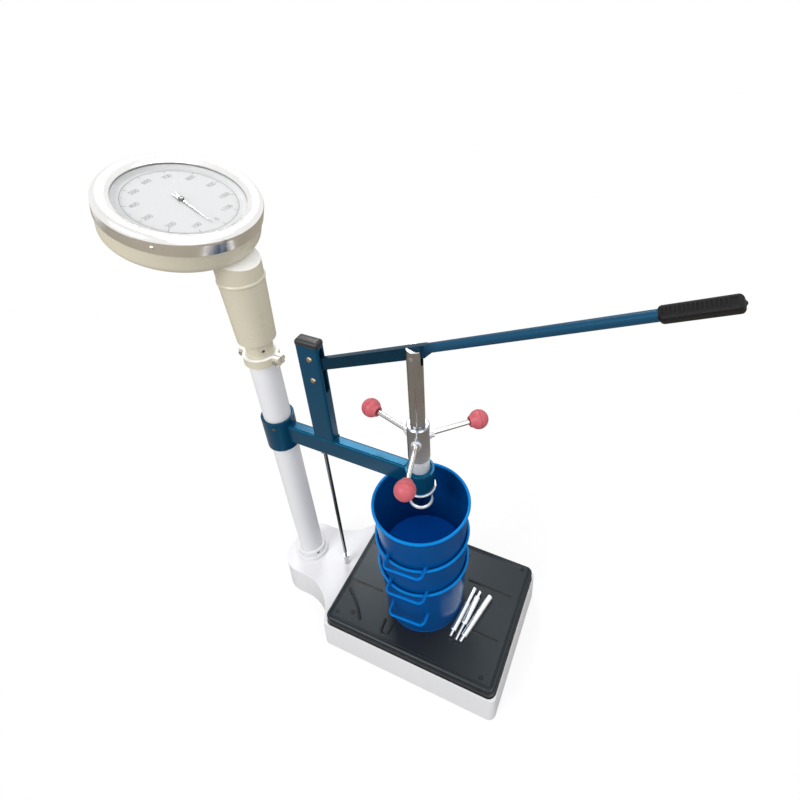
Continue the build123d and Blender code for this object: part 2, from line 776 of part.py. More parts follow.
# Needle chuck: screwed on the spindle, with a socket below for a needle's stub and a screw to hold it
socket_bore = needle_stub_radius + running_fit
chuck_screw_plane = Plane(origin=(0, 0, chuck_bottom + chuck_screw_height), z_dir=(0, -1, 0))
with BuildPart() as needle_chuck:
    with Locations((0, 0, chuck_bottom)):
        Cylinder(chuck_radius, chuck_height, align=ON_BASE)
    chamfer(needle_chuck.edges().group_by(Axis.Z)[0], chuck_nose_chamfer)
    fillet(needle_chuck.edges().group_by(Axis.Z)[-1], spindle_edge_radius)
    with Locations((0, 0, chuck_top)):
        thread_hole = chuck_thread_depth + seat_gap
        Cylinder(chuck_thread_radius + screw_fit, thread_hole, align=UNDER_TOP, mode=Mode.SUBTRACT)
    with Locations((0, 0, chuck_bottom)):
        Cylinder(socket_bore, needle_stub_length + slack, align=ON_BASE, mode=Mode.SUBTRACT)
    with BuildSketch(chuck_screw_plane):
        Circle(chuck_screw_radius + screw_fit)
    extrude(amount=chuck_radius, mode=Mode.SUBTRACT)
save(needle_chuck, "needle_chuck")

with BuildPart() as chuck_screw:
    with BuildSketch(chuck_screw_plane.offset(socket_bore + slack)):
        Circle(chuck_screw_radius)
    extrude(amount=chuck_radius - socket_bore - slack)
save(chuck_screw, "chuck_screw")

# Press lever: a flat bar through the fork, welded to a round bar that bends up a little
lever_along = Vector(cos(rise), 0, sin(rise))
lever_up = Vector(-sin(rise), 0, cos(rise))
lever_foot = Vector(0, 0, fork_pin_z) + lever_up * lever_pin_drop
lever_side = Plane(origin=lever_foot, x_dir=lever_along, z_dir=(0, -1, 0))
bar_lift = lever_depth / 2 - bar_radius
bend = rise + radians(bar_bend)
bar_axis = Vector(cos(bend), 0, sin(bend))
bar_root = lever_foot + lever_along * bar_start + lever_up * bar_lift
bar_plane = Plane(origin=bar_root, x_dir=(0, 1, 0), z_dir=bar_axis)
bar_length = grip_start - bar_start + grip_length - grip_end_wall
with BuildPart() as lever_bar:
    with BuildSketch(lever_side):
        with BuildLine():
            Polyline(
                (-lever_inner_reach, -lever_depth / 2),
                (plate_taper, -lever_depth / 2),
                (plate_reach, bar_lift - bar_radius / 2),
                (plate_reach, bar_lift + bar_radius / 2),
                (bar_start, lever_depth / 2),
                (-lever_inner_reach, lever_depth / 2),
                close=True,
            )
        plate = make_face()
        fillet(plate.vertices().group_by(Axis(lever_foot, lever_along))[0], lever_end_radius)
        with Locations((0, -lever_pin_drop)):
            Circle(fork_pin_radius + running_fit, mode=Mode.SUBTRACT)
    extrude(amount=lever_thickness / 2, both=True)
    with BuildSketch(bar_plane):
        Circle(bar_radius)
    extrude(amount=bar_length)
save(lever_bar, "lever_bar")

# Rubber grip: a rounded square sleeve, turned on the bar, with a row of ribs on its upper face and an end nub
roll = radians(grip_roll)
grip_across = Vector(-sin(bend) * sin(roll), cos(roll), cos(bend) * sin(roll))
grip_plane = Plane(origin=bar_root + bar_axis * (grip_start - bar_start), x_dir=grip_across, z_dir=bar_axis)
rib_pitch = grip_length / (grip_ribs + 1)
with BuildPart() as lever_grip:
    with BuildSketch(grip_plane):
        RectangleRounded(grip_size, grip_size, grip_corner)
    extrude(amount=grip_length)
    grip_ends = lever_grip.faces().sort_by(Axis(grip_plane.origin, grip_plane.z_dir))
    fillet(grip_ends[0].edges() + grip_ends[-1].edges(), grip_end_radius)
    for rib in range(1, grip_ribs + 1):
        with BuildSketch(grip_plane.offset(rib * rib_pitch - grip_rib_width / 2)):
            with Locations((0, grip_size / 2)):
                RectangleRounded(grip_size - 2 * grip_corner, 2 * grip_rib_height, grip_rib_height / 2)
        extrude(amount=grip_rib_width)
    with BuildSketch(grip_plane.offset(grip_length)):
        Circle(nub_radius)
    extrude(amount=nub_length)
    with BuildSketch(grip_plane):
        Circle(bar_radius + screw_fit)
    extrude(amount=grip_length - grip_end_wall, mode=Mode.SUBTRACT)
save(lever_grip, "lever_grip")

# Neck casting: a spigot that turns in the column, a tapered sleeve and a roof on the head's slope
seat_plane = head.offset(-housing_depth)
with BuildPart() as neck_core:
    with BuildSketch(column_section):
        with BuildLine():
            Polyline(
                (0, spigot_bottom),
                (spigot_bore, spigot_bottom),
                (spigot_bore, neck_bottom + neck_wall),
                (neck_bottom_radius - neck_wall, neck_bottom + neck_wall),
                (neck_top_radius - neck_wall, neck_ridge_z),
                (neck_top_radius - neck_wall, neck_reach),
                (0, neck_reach),
                close=True,
            )
        make_face()
    revolve(axis=column_axis)
    split(bisect_by=seat_plane.offset(-neck_wall), keep=Keep.BOTTOM)

with BuildPart() as neck_sleeve:
    with BuildSketch(column_section):
        with BuildLine():
            Polyline(
                (0, spigot_bottom),
                (spigot_radius, spigot_bottom),
                (spigot_radius, neck_bottom),
                (neck_bottom_radius, neck_bottom),
                (neck_top_radius, neck_ridge_z - neck_ridge_height / 2),
                (neck_top_radius + neck_ridge, neck_ridge_z - neck_ridge_height / 6),
                (neck_top_radius + neck_ridge, neck_ridge_z + neck_ridge_height / 6),
                (neck_top_radius, neck_ridge_z + neck_ridge_height / 2),
                (neck_top_radius, neck_reach),
                (0, neck_reach),
                close=True,
            )
        make_face()
    revolve(axis=column_axis)
    split(bisect_by=seat_plane, keep=Keep.BOTTOM)
    add(neck_core.part, mode=Mode.SUBTRACT)
    with Locations((column_x, 0, spigot_bottom)):
        Cylinder(draw_knob_radius + slack, neck_reach - spigot_bottom, align=ON_BASE, mode=Mode.SUBTRACT)
save(neck_sleeve, "neck_sleeve")

# Locating key below the sleeve, screwed to the spigot
key_plane = bearing_plane(column_x, 0, key_z, key_bearing)
with BuildPart() as neck_key:
    with BuildSketch(key_plane):
        Rectangle(key_height, key_width)
    extrude(amount=spigot_radius + key_depth)
    with Locations((column_x, 0, key_z)):
        Cylinder(spigot_radius + screw_fit, 2 * key_height, mode=Mode.SUBTRACT)
save(neck_key, "neck_key")

# Neck clamp: two half rings with lugs, drawn together round the tube's top
clamp_bottom = column_top - clamp_height
clamp_middle = column_top - clamp_height / 2
lug_x = (clamp_radius + lug_reach) / 2
lug_span = 2 * lug_thickness + clamp_split
with BuildPart() as neck_clamp:
    with Locations((column_x, 0, clamp_bottom)):
        Cylinder(clamp_radius, clamp_height, align=ON_BASE)
        Box(2 * lug_reach, lug_span, clamp_height, align=ON_BASE)
        Cylinder(column_radius + screw_fit, clamp_height, align=ON_BASE, mode=Mode.SUBTRACT)
        Box(2 * lug_reach, clamp_split, clamp_height, align=ON_BASE, mode=Mode.SUBTRACT)
    with Locations((column_x - lug_x, 0, clamp_middle), (column_x + lug_x, 0, clamp_middle)):
        Cylinder(clamp_screw_radius + screw_fit, lug_span, rotation=(90, 0, 0), mode=Mode.SUBTRACT)
save(neck_clamp, "neck_clamp")

with BuildPart() as clamp_screws:
    lug_face = lug_span / 2
    for x in (column_x - lug_x, column_x + lug_x):
        screw_middle = Vector(x, 0, clamp_middle)
        with Locations(screw_middle):
            Cylinder(clamp_screw_radius, 2 * lug_face, rotation=(90, 0, 0))
        with BuildSketch(Plane(origin=screw_middle + Vector(0, -lug_face, 0), z_dir=(0, -1, 0))):
            Circle(clamp_head_radius)
        extrude(amount=clamp_head_height)
        with BuildSketch(Plane(origin=screw_middle + Vector(0, lug_face, 0), z_dir=(0, 1, 0))):
            RegularPolygon(clamp_head_radius, 6, major_radius=False)
        extrude(amount=clamp_head_height)
save(clamp_screws, "clamp_screws")

# Dial housing: a pressed pan with a rounded floor edge, on the neck's slope
with BuildPart() as dial_housing:
    with BuildSketch(head_section):
        with BuildLine():
            Polyline(
                (0, -housing_depth),
                (housing_rear_radius, -housing_depth),
                (cup_radius, -bezel_depth),
                (cup_radius, -cup_rim_depth),
                (cup_radius - housing_ledge, -cup_rim_depth),
                (cup_radius - housing_ledge, -cup_rim_depth - housing_wall),
                (cup_radius - housing_wall, -bezel_depth),
                (housing_rear_radius - housing_wall, housing_wall - housing_depth),
                (0, housing_wall - housing_depth),
                close=True,
            )
        make_face()
    revolve(axis=head_axis)
    fillet(dial_housing.edges().group_by(head_axis)[1], housing_edge_radius - housing_wall)
    fillet(dial_housing.edges().group_by(head_axis)[0], housing_edge_radius)
    with Locations((column_x, 0, neck_ridge_z)):
        Cylinder(draw_knob_radius + slack, housing_depth, align=ON_BASE, mode=Mode.SUBTRACT)
save(dial_housing, "dial_housing")

# Bezel: a chromed ring whose band grips the cup and whose crowned face holds the glass
with BuildPart() as bezel:
    with BuildSketch(head_section):
        with BuildLine():
            band = Line((bezel_radius, -bezel_depth), (bezel_radius, -bezel_shoulder))
            shoulder = TangentArc(band @ 1, (bezel_radius - bezel_shoulder, 0), tangent=(0, 1))
            crown = TangentArc(shoulder @ 1, (bezel_opening, -bezel_lip), tangent=(-1, 0))
            Polyline(
                crown @ 1,
                (bezel_opening, -glass_depth),
                (cup_radius - housing_wall, -glass_depth),
                (bezel_radius - bezel_wall, -cup_rim_depth + seat_gap),
                (bezel_radius - bezel_wall, -bezel_depth),
                band @ 0,
            )
        make_face()
    revolve(axis=head_axis)
save(bezel, "bezel")

# Glass under the bezel's lip
glass_radius = cup_radius - housing_wall - slack
with BuildPart() as dial_glass:
    with BuildSketch(head.offset(-glass_depth)):
        Circle(glass_radius)
    extrude(amount=-glass_thickness)
save(dial_glass, "dial_glass")

# Dial: a dished sheet, clamped by its flange between the glass and the cup's rim
flange_depth = glass_depth + glass_thickness + seat_gap
with BuildPart() as dial_face:
    with BuildSketch(head_section):
        with BuildLine():
            Polyline(
                (dial_hole_radius, -dial_depth),
                (dial_radius, -dial_depth),
                (bezel_opening, -flange_depth),
                (glass_radius, -flange_depth),
                (glass_radius, -flange_depth - dial_sheet),
                (bezel_opening, -flange_depth - dial_sheet),
                (dial_radius, -dial_depth - dial_sheet),
                (dial_hole_radius, -dial_depth - dial_sheet),
                close=True,
            )
        make_face()
    revolve(axis=head_axis)
save(dial_face, "dial_face")

# Pointer: a tapered hand with a forked tail, at its resting angle
hand_turn = radians(-pointer_rest)
hand = Plane(
    origin=head.from_local_coords((0, 0, -pointer_depth)),
    x_dir=head.x_dir * cos(hand_turn) + head.y_dir * sin(hand_turn),
    z_dir=head.z_dir,
)
with BuildPart() as pointer:
    with BuildSketch(hand):
        with BuildLine():
            Polyline(
                (pointer_reach, 0),
                (0, pointer_width / 2),
                (-pointer_tail, pointer_width),
                (-pointer_tail / 2, 0),
                (-pointer_tail, -pointer_width),
                (0, -pointer_width / 2),
                close=True,
            )
        make_face()
        Circle(pointer_hub_radius)
        Circle(arbor_radius + screw_fit, mode=Mode.SUBTRACT)
    extrude(amount=-pointer_thickness)
save(pointer, "pointer")

# Arbor with its pinion, which turns the pointer
bridge_depth = rack_depth + rack_thickness / 2 + seat_gap
with BuildPart() as pinion_arbor:
    with BuildSketch(head.offset(-pointer_depth)):
        Circle(arbor_radius)
    extrude(amount=pointer_depth - bridge_depth - bridge_thickness - slack)
    with BuildSketch(head.offset(-rack_depth + pinion_height / 2)):
        Circle(pinion_pitch_radius - seat_gap)
    extrude(amount=-pinion_height)
save(pinion_arbor, "pinion_arbor")

# Bell crank: one arm is pulled by the draw rod, the other pushes the rack
crank_x = column_x - crank_arm
pivot_u = (crank_x - head_centre.X + pivot_depth * sin(tilt)) / cos(tilt)
pivot_point = head.from_local_coords((pivot_u, 0, -pivot_depth))
crank_rest = crank_swing * (0.5 - rest_share)
crank_plane = Plane(origin=pivot_point, x_dir=(cos(crank_rest), 0, sin(crank_rest)), z_dir=(0, -1, 0))
link_angle = 90 - head_tilt
link_out = Vector(cos(radians(link_angle)), sin(radians(link_angle)))
rack_slot = 2 * (rack_pin_radius + crank_slot_play)
with BuildPart() as bell_crank:
    with BuildSketch(crank_plane):
        Circle(crank_hub_radius)
    extrude(amount=crank_hub_half, both=True)
    with BuildSketch(crank_plane):
        with Locations(((crank_arm + crank_hub_radius) / 2, 0)):
            Rectangle(crank_arm + crank_hub_radius, crank_plate)
    extrude(amount=crank_arm_half, both=True)
    with BuildSketch(crank_plane):
        with Locations((crank_arm + crank_hub_radius, 0)):
            Rectangle(2 * (crank_hub_radius + draw_rod_radius + slack), 2 * crank_plate)
    extrude(amount=draw_rod_radius + slack, both=True, mode=Mode.SUBTRACT)
    with BuildSketch(crank_plane.offset(-crank_link_start)):
        flat_bar((0, 0), link_out * crank_link, crank_link_width)
    extrude(amount=-crank_plate)
    with BuildSketch(crank_plane.offset(-crank_link_start)):
        slot_end = link_out * (crank_link + crank_link_width)
        flat_bar(link_out * (crank_link - rack_slot / 2), slot_end, rack_slot)
    extrude(amount=-crank_plate, mode=Mode.SUBTRACT)
    with BuildSketch(crank_plane):
        Circle(crank_pin_radius + running_fit)
    extrude(amount=crank_hub_half, both=True, mode=Mode.SUBTRACT)
save(bell_crank, "bell_crank")

# Crank bracket: two angle cheeks on the cup's floor, with the crank's pin through them
cup_floor = housing_depth - housing_wall
cheek_y = crank_hub_half + seat_gap
with BuildPart() as crank_bracket:
    for side in (-1, 1):
        with BuildSketch(head.offset(-cup_floor)):
            with Locations((pivot_u, side * (cheek_y + cheek_thickness / 2))):
                Rectangle(cheek_width, cheek_thickness)
        extrude(amount=cup_floor - pivot_depth + crank_hub_radius)
        with BuildSketch(head.offset(-cup_floor)):
            with Locations((pivot_u, side * (cheek_y + cheek_foot / 2))):
                Rectangle(cheek_width, cheek_foot)
        extrude(amount=cheek_thickness)
    with BuildSketch(crank_plane):
        Circle(crank_pin_radius)
    extrude(amount=cheek_y + cheek_thickness, both=True)
save(crank_bracket, "crank_bracket")

# Rack: a bar beside the pinion, with a tongue and pin in the crank's slot
rack_inner = pinion_pitch_radius + seat_gap
rack_outer = rack_inner + rack_width
rack_pin_u = pivot_u - crank_link * crank_rest
rack_end = rack_pin_u - rack_shank
with BuildPart() as rack:
    with BuildSketch(head.offset(-rack_depth)):
        with Locations(((rack_end - rack_tail) / 2, (rack_inner + rack_outer) / 2)):
            Rectangle(rack_end + rack_tail, rack_width)
        with Locations((rack_pin_u + rack_pin_radius, rack_outer)):
            tongue_align = (Align.MAX, Align.MAX)
            Rectangle(rack_pin_radius + 2 * rack_shank, rack_tongue, align=tongue_align)
    extrude(amount=rack_thickness / 2, both=True)
    rack_pin_point = head.from_local_coords((rack_pin_u, rack_outer, -rack_depth))
    with BuildSketch(Plane(origin=rack_pin_point, z_dir=(0, -1, 0))):
        Circle(rack_pin_radius)
    extrude(amount=rack_width)
save(rack, "rack")

# Arbor bridge: a plate on two pillars, with a rail behind the rack
with BuildPart() as arbor_bridge:
    with BuildSketch(head.offset(-bridge_depth)):
        bridge_width = 2 * (bridge_pillar_y + bridge_pillar_radius)
        Rectangle(2 * bridge_half_length, bridge_width)
        Circle(arbor_radius + running_fit, mode=Mode.SUBTRACT)
    extrude(amount=-bridge_thickness)
    with BuildSketch(head.offset(-bridge_depth - bridge_thickness)):
        with Locations((0, -bridge_pillar_y), (0, bridge_pillar_y)):
            Circle(bridge_pillar_radius)
    extrude(amount=bridge_depth + bridge_thickness - cup_floor)
    with BuildSketch(head.offset(-bridge_depth)):
        with Locations((0, rack_outer + seat_gap + rail_width / 2)):
            Rectangle(2 * bridge_half_length, rail_width)
    extrude(amount=rack_thickness)
save(arbor_bridge, "arbor_bridge")

# Draw rod: hangs in the column, with a grooved head for the crank's fork
knob_z = pivot_point.Z + crank_arm * crank_rest
nut_top = bar_bottom - seat_gap
rod_bottom = nut_top - draw_nut_height - draw_rod_tail
knob_offset = draw_knob_gap / 2
with BuildPart() as draw_rod:
    with Locations((column_x, 0, rod_bottom)):
        Cylinder(draw_rod_radius, knob_z + knob_offset + draw_knob_height - rod_bottom, align=ON_BASE)
    with Locations((column_x, 0, knob_z + knob_offset)):
        Cylinder(draw_knob_radius, draw_knob_height, align=ON_BASE)
    with Locations((column_x, 0, knob_z - knob_offset)):
        Cylinder(draw_knob_radius, draw_knob_height, align=UNDER_TOP)
save(draw_rod, "draw_rod")

# Nut under the main lever's eye
with BuildPart() as draw_nut:
    with BuildSketch(Plane(origin=(column_x, 0, nut_top))):
        RegularPolygon(draw_nut_radius, 6, major_radius=False)
        Circle(draw_rod_radius + screw_fit, mode=Mode.SUBTRACT)
    extrude(amount=-draw_nut_height)
save(draw_nut, "draw_nut")

# Spring hanger: a disc fixed in the column, and the collar on the rod that stretches the spring
spring_bottom = spring_top - spring_length
with BuildPart() as spring_hanger:
    with BuildSketch(Plane(origin=(column_x, 0, spring_top + seat_gap))):
        Circle(column_bore - screw_fit)
        Circle(draw_rod_radius + slack, mode=Mode.SUBTRACT)
    extrude(amount=hanger_height)
save(spring_hanger, "spring_hanger")

with BuildPart() as spring_collar:
    with BuildSketch(Plane(origin=(column_x, 0, spring_bottom - seat_gap))):
        Circle(spring_collar_radius)
        Circle(draw_rod_radius + screw_fit, mode=Mode.SUBTRACT)
    extrude(amount=-spring_collar_height)
save(spring_collar, "spring_collar")


def coil_state(turn):
    """Point and heading on the spring's wire at a number of turns from its lower end."""
    angle = 2 * pi * turn
    climb = (spring_length - 2 * spring_wire_radius) / spring_turns
    heading = Vector(-sin(angle), cos(angle), climb / (2 * pi * spring_coil_radius)).normalized()
    height = spring_bottom + spring_wire_radius + climb * turn
    place = Vector(column_x + spring_coil_radius * cos(angle), spring_coil_radius * sin(angle), height)
    return place, heading


# Weighing spring: one wire wound round the draw rod, drawn as pairs of arcs for each half turn
with BuildPart() as weighing_spring:
    with BuildLine() as coil:
        for half_turn in range(2 * spring_turns):
            start, start_heading = coil_state(half_turn / 2)
            end, end_heading = coil_state((half_turn + 1) / 2)
            chord = end - start
            spread = chord.dot(start_heading + end_heading)
            bend_share = 2 * (1 - start_heading.dot(end_heading))
            reach = (sqrt(spread**2 + bend_share * chord.dot(chord)) - spread) / bend_share
            first = start + start_heading * reach
            second = end - end_heading * reach
            joint = (first + second) / 2
            TangentArc(start, joint, tangent=start_heading)
            TangentArc(joint, end, tangent=second - first)
    coil_start, coil_heading = coil_state(0)
    with BuildSketch(Plane(origin=coil_start, z_dir=coil_heading)):
        Circle(spring_wire_radius)
    sweep(path=coil.wire())
save(weighing_spring, "weighing_spring")
coil_gap = (spring_length - 2 * spring_wire_radius) / spring_turns - 2 * spring_wire_radius
print(f"weighing_spring: least gap between turns {coil_gap:.2f} mm")

# Moulds: tapered sheet pails with a rolled rim, nested with their handles on the rim below
handle_rise = mould_height - stack_pitch + mould_handle_radius + seat_gap
for level, name in enumerate(("mould_lower", "mould_middle", "mould_upper")):
    mould_base = field_z + level * stack_pitch
    mould_section = Plane(origin=(mould_x, mould_y, mould_base), x_dir=(1, 0, 0), z_dir=(0, -1, 0))
    mould_axis = Axis((mould_x, mould_y, 0), (0, 0, 1))
    with BuildPart() as mould:
        with BuildSketch(mould_section):
            with BuildLine():
                Polyline(
                    (0, 0),
                    (mould_floor_radius + mould_sheet, 0),
                    (mould_mouth_radius + mould_sheet, mould_height - rim_wire_radius),
                    (mould_mouth_radius, mould_height - rim_wire_radius),
                    (mould_floor_radius, mould_sheet),
                    (0, mould_sheet),
                    close=True,
                )
            make_face()
            with Locations((mould_mouth_radius + rim_wire_radius, mould_height - rim_wire_radius)):
                Circle(rim_wire_radius)
        revolve(axis=mould_axis)
    save(mould, name)

    # Two bent-wire handles, welded to the wall on opposite sides
    with BuildPart() as handles:
        for turn in (mould_handle_turn, mould_handle_turn + 180):
            aim = Vector(cos(radians(turn)), sin(radians(turn)), 0)
            handle_centre = (mould_x, mould_y, mould_base + handle_rise)
            with BuildLine(Plane(origin=handle_centre, x_dir=aim, z_dir=(0, 0, 1))) as loop:
                FilletPolyline(
                    (mould_handle_half_width, -mould_floor_radius / 2),
                    (mould_handle_half_width, -mould_handle_reach),
                    (-mould_handle_half_width, -mould_handle_reach),
                    (-mould_handle_half_width, -mould_floor_radius / 2),
                    radius=mould_handle_corner,
                )
            with BuildSketch(Plane(origin=loop.wire() @ 0, z_dir=loop.wire() % 0)):
                Circle(mould_handle_radius)
            sweep(path=loop.wire())
        with Locations((mould_x, mould_y, mould_base)):
            lower = mould_floor_radius + mould_sheet + screw_fit
            upper = mould_mouth_radius + mould_sheet + screw_fit
            Cone(lower, upper, mould_height - rim_wire_radius, align=ON_BASE, mode=Mode.SUBTRACT)
    save(handles, f"{name}_handles")

# Needles: a threaded stub, a grip body and a measuring tip of the named area in square millimetres
for name, (area, stub, bearing) in needles.items():
    rest_z = field_z + seat_gap + needle_body_radius
    needle_plane = bearing_plane(stub[0], stub[1], rest_z, bearing)
    with BuildPart() as needle:
        with BuildSketch(needle_plane):
            Circle(needle_stub_radius)
        extrude(amount=needle_stub_length)
        with BuildSketch(needle_plane.offset(needle_stub_length)):
            Circle(needle_body_radius)
        extrude(amount=needle_body_length)
        rings = needle.edges().filter_by(GeomType.CIRCLE).filter_by(lambda e: e.radius == needle_body_radius)
        chamfer(rings, needle_chamfer)
        with BuildSketch(needle_plane.offset(needle_stub_length + needle_body_length)):
            Circle(sqrt(area / pi))
        extrude(amount=needle_tip_length)
    save(needle, name)
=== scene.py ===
import bpy
from math import cos, pi, radians, sin, sqrt
from mathutils import Matrix, Vector


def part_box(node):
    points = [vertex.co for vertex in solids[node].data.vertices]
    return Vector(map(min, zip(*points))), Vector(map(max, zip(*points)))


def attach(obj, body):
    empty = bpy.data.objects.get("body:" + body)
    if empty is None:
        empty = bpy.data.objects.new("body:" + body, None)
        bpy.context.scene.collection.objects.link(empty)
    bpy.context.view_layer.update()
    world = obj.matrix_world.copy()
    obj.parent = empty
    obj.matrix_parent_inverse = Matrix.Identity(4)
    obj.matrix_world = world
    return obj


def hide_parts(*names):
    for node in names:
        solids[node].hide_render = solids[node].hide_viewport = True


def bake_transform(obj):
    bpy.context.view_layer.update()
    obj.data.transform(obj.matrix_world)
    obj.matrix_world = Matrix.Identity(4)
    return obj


# Concrete penetration tester: a hand-lever press on a dial platform scale, with nested moulds and
# needles. The frame brings its solids; each section below finishes one piece, from the floor up.
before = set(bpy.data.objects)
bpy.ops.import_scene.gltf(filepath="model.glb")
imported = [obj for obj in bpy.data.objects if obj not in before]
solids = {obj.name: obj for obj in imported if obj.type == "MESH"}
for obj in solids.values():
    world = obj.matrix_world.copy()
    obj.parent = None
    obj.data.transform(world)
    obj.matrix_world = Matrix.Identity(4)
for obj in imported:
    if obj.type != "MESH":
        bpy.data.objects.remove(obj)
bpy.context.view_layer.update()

# Base casing: a flared tray of pressed sheet steel, stove enamelled white, with a closed deck on
# its tail. The enamel has a faint orange peel and is a darker brownish grey along its sharp edges.


def shader_group(title, inputs, outputs):
    """Empty shader group with named sockets, and its input and output nodes."""
    group = bpy.data.node_groups.new(title, "ShaderNodeTree")
    for side, sockets in (("INPUT", inputs), ("OUTPUT", outputs)):
        for socket, kind in sockets:
            group.interface.new_socket(socket, in_out=side, socket_type="NodeSocket" + kind)
    return group, group.nodes.new("NodeGroupInput"), group.nodes.new("NodeGroupOutput")


def give(node, values):
    """Set a node's inputs by name."""
    for socket, value in values.items():
        node.inputs[socket].default_value = value


def object_point(tree):
    """The shaded point in the piece's own coordinates."""
    return tree.nodes.new("ShaderNodeTexCoord").outputs["Object"]


def noise_field(tree, spot, size, detail):
    """Noise over a point, with its scale taken from a socket."""
    noise = tree.nodes.new("ShaderNodeTexNoise")
    noise.inputs["Detail"].default_value = detail
    tree.links.new(spot, noise.inputs["Vector"])
    tree.links.new(size, noise.inputs["Scale"])
    return noise.outputs["Fac"]


def number(tree, operation, *terms):
    """Math node on sockets and plain numbers."""
    sum_node = tree.nodes.new("ShaderNodeMath")
    sum_node.operation = operation
    for place, term in enumerate(terms):
        if isinstance(term, (int, float)):
            sum_node.inputs[place].default_value = term
        else:
            tree.links.new(term, sum_node.inputs[place])
    return sum_node.outputs[0]


def swing(tree, noise, amount, middle):
    """A value that swings about its middle as a noise does about a half."""
    return number(tree, "MULTIPLY_ADD", number(tree, "SUBTRACT", noise, 0.5), amount, middle)


def scaled(tree, colour, amount):
    """A colour made lighter or darker by a value."""
    product = tree.nodes.new("ShaderNodeVectorMath")
    product.operation = "SCALE"
    tree.links.new(colour, product.inputs[0])
    tree.links.new(amount, product.inputs["Scale"])
    return product.outputs[0]


# Mottle: slow patches that lighten, darken and dull a finish, and a fine grain for its relief
patch_detail, smear_detail, grain_detail, smears_per_patch = 4.0, 5.0, 2.0, 2.7
mottle, mottle_in, mottle_out = shader_group(
    "surface_mottle",
    (("Colour", "Color"), ("Shade", "Float"), ("Patch", "Float"),
     ("Gloss", "Float"), ("Smear", "Float"), ("Grain", "Float")),
    (("Colour", "Color"), ("Roughness", "Float"), ("Height", "Float")),
)
mottle_spot = object_point(mottle)
patches = noise_field(mottle, mottle_spot, mottle_in.outputs["Patch"], patch_detail)
tone = swing(mottle, patches, mottle_in.outputs["Shade"], 1.0)
mottle.links.new(scaled(mottle, mottle_in.outputs["Colour"], tone), mottle_out.inputs["Colour"])
smear_size = number(mottle, "MULTIPLY", mottle_in.outputs["Patch"], smears_per_patch)
smears = noise_field(mottle, mottle_spot, smear_size, smear_detail)
dulled = swing(mottle, smears, mottle_in.outputs["Smear"], mottle_in.outputs["Gloss"])
mottle.links.new(dulled, mottle_out.inputs["Roughness"])
grains = noise_field(mottle, mottle_spot, mottle_in.outputs["Grain"], grain_detail)
mottle.links.new(grains, mottle_out.inputs["Height"])

# Sharp edges: a mask that is white along sharp corners. Most finishes lay a lighter colour there, a
# painted highlight along their edges; the white enamel lays a darker one.
corner_samples, corner_gain, ragged_size, ragged_detail, ragged_gain = 4, 6.0, 90.0, 3.0, 1.6
edge_shader, edge_shader_in, edge_shader_out = shader_group(
    "sharp_edge_mask", (("Width", "Float"), ("Ragged", "Float")), (("Mask", "Float"),))
soft_corner = edge_shader.nodes.new("ShaderNodeBevel")
soft_corner.samples = corner_samples
edge_shader.links.new(edge_shader_in.outputs["Width"], soft_corner.inputs["Radius"])
true_face = edge_shader.nodes.new("ShaderNodeNewGeometry")
lean = edge_shader.nodes.new("ShaderNodeVectorMath")
lean.operation = "DOT_PRODUCT"
edge_shader.links.new(soft_corner.outputs[0], lean.inputs[0])
edge_shader.links.new(true_face.outputs["Normal"], lean.inputs[1])
parted = number(edge_shader, "SUBTRACT", 1.0, lean.outputs["Value"])
sharp = number(edge_shader, "MULTIPLY", parted, corner_gain)
ragged = noise_field(edge_shader, object_point(edge_shader), edge_shader_in.outputs["Ragged"], ragged_detail)
edge_mask = number(edge_shader, "MULTIPLY", sharp, number(edge_shader, "MULTIPLY", ragged, ragged_gain))
edge_shader.links.new(number(edge_shader, "MINIMUM", edge_mask, 1.0), edge_shader_out.inputs["Mask"])


def use_group(tree, group, values):
    """A shader group placed in a material with its own values."""
    placed = tree.nodes.new("ShaderNodeGroup")
    placed.node_tree = group
    give(placed, values)
    return placed


def laid_over(tree, mask, colour):
    """Lay a second colour over a finish where a mask is white."""
    skin = tree.nodes["Principled BSDF"]
    over = tree.nodes.new("ShaderNodeMix")
    over.data_type = "RGBA"
    over.inputs["B"].default_value = (*colour, 1)
    tree.links.new(mask, over.inputs["Factor"])
    tree.links.new(skin.inputs["Base Color"].links[0].from_socket, over.inputs["A"])
    tree.links.new(over.outputs["Result"], skin.inputs["Base Color"])


def bumped(tree, height, depth):
    """Raise a finish's skin by a height field, to a depth in metres."""
    bump = tree.nodes.new("ShaderNodeBump")
    give(bump, {"Strength": 1.0, "Distance": depth})
    tree.links.new(height, bump.inputs["Height"])
    tree.links.new(bump.outputs["Normal"], tree.nodes["Principled BSDF"].inputs["Normal"])


def finish(title, colour, gloss, shade=0.12, patch=14.0, smear=0.08, grain=700.0, relief=0.0,
           metal=0.0, specular=0.5, sheen_of=(1, 1, 1), edge_colour=None, edge_width=0.0009):
    """A surface finish: its colour with mottle and grain, and a second colour along sharp corners.
    """
    made = bpy.data.materials.new(title)
    made.use_nodes = True
    tree = made.node_tree
    skin = tree.nodes["Principled BSDF"]
    give(skin, {"Metallic": metal, "Specular IOR Level": specular, "Specular Tint": (*sheen_of, 1)})
    cover = use_group(tree, mottle, {"Colour": (*colour, 1), "Shade": shade, "Patch": patch,
                                     "Gloss": gloss, "Smear": smear, "Grain": grain})
    tree.links.new(cover.outputs["Roughness"], skin.inputs["Roughness"])
    tree.links.new(cover.outputs["Colour"], skin.inputs["Base Color"])
    # A lighter second colour here is a painted highlight along the corners.
    if edge_colour:
        edge = use_group(tree, edge_shader, {"Width": edge_width, "Ragged": ragged_size})
        laid_over(tree, edge.outputs["Mask"], edge_colour)
    if relief:
        bumped(tree, cover.outputs["Height"], relief)
    return made


def dress(material, *names):
    """Put a finish on solids that are carried over as they are."""
    for name in names:
        for material_slot in solids[name].material_slots:
            material_slot.material = material


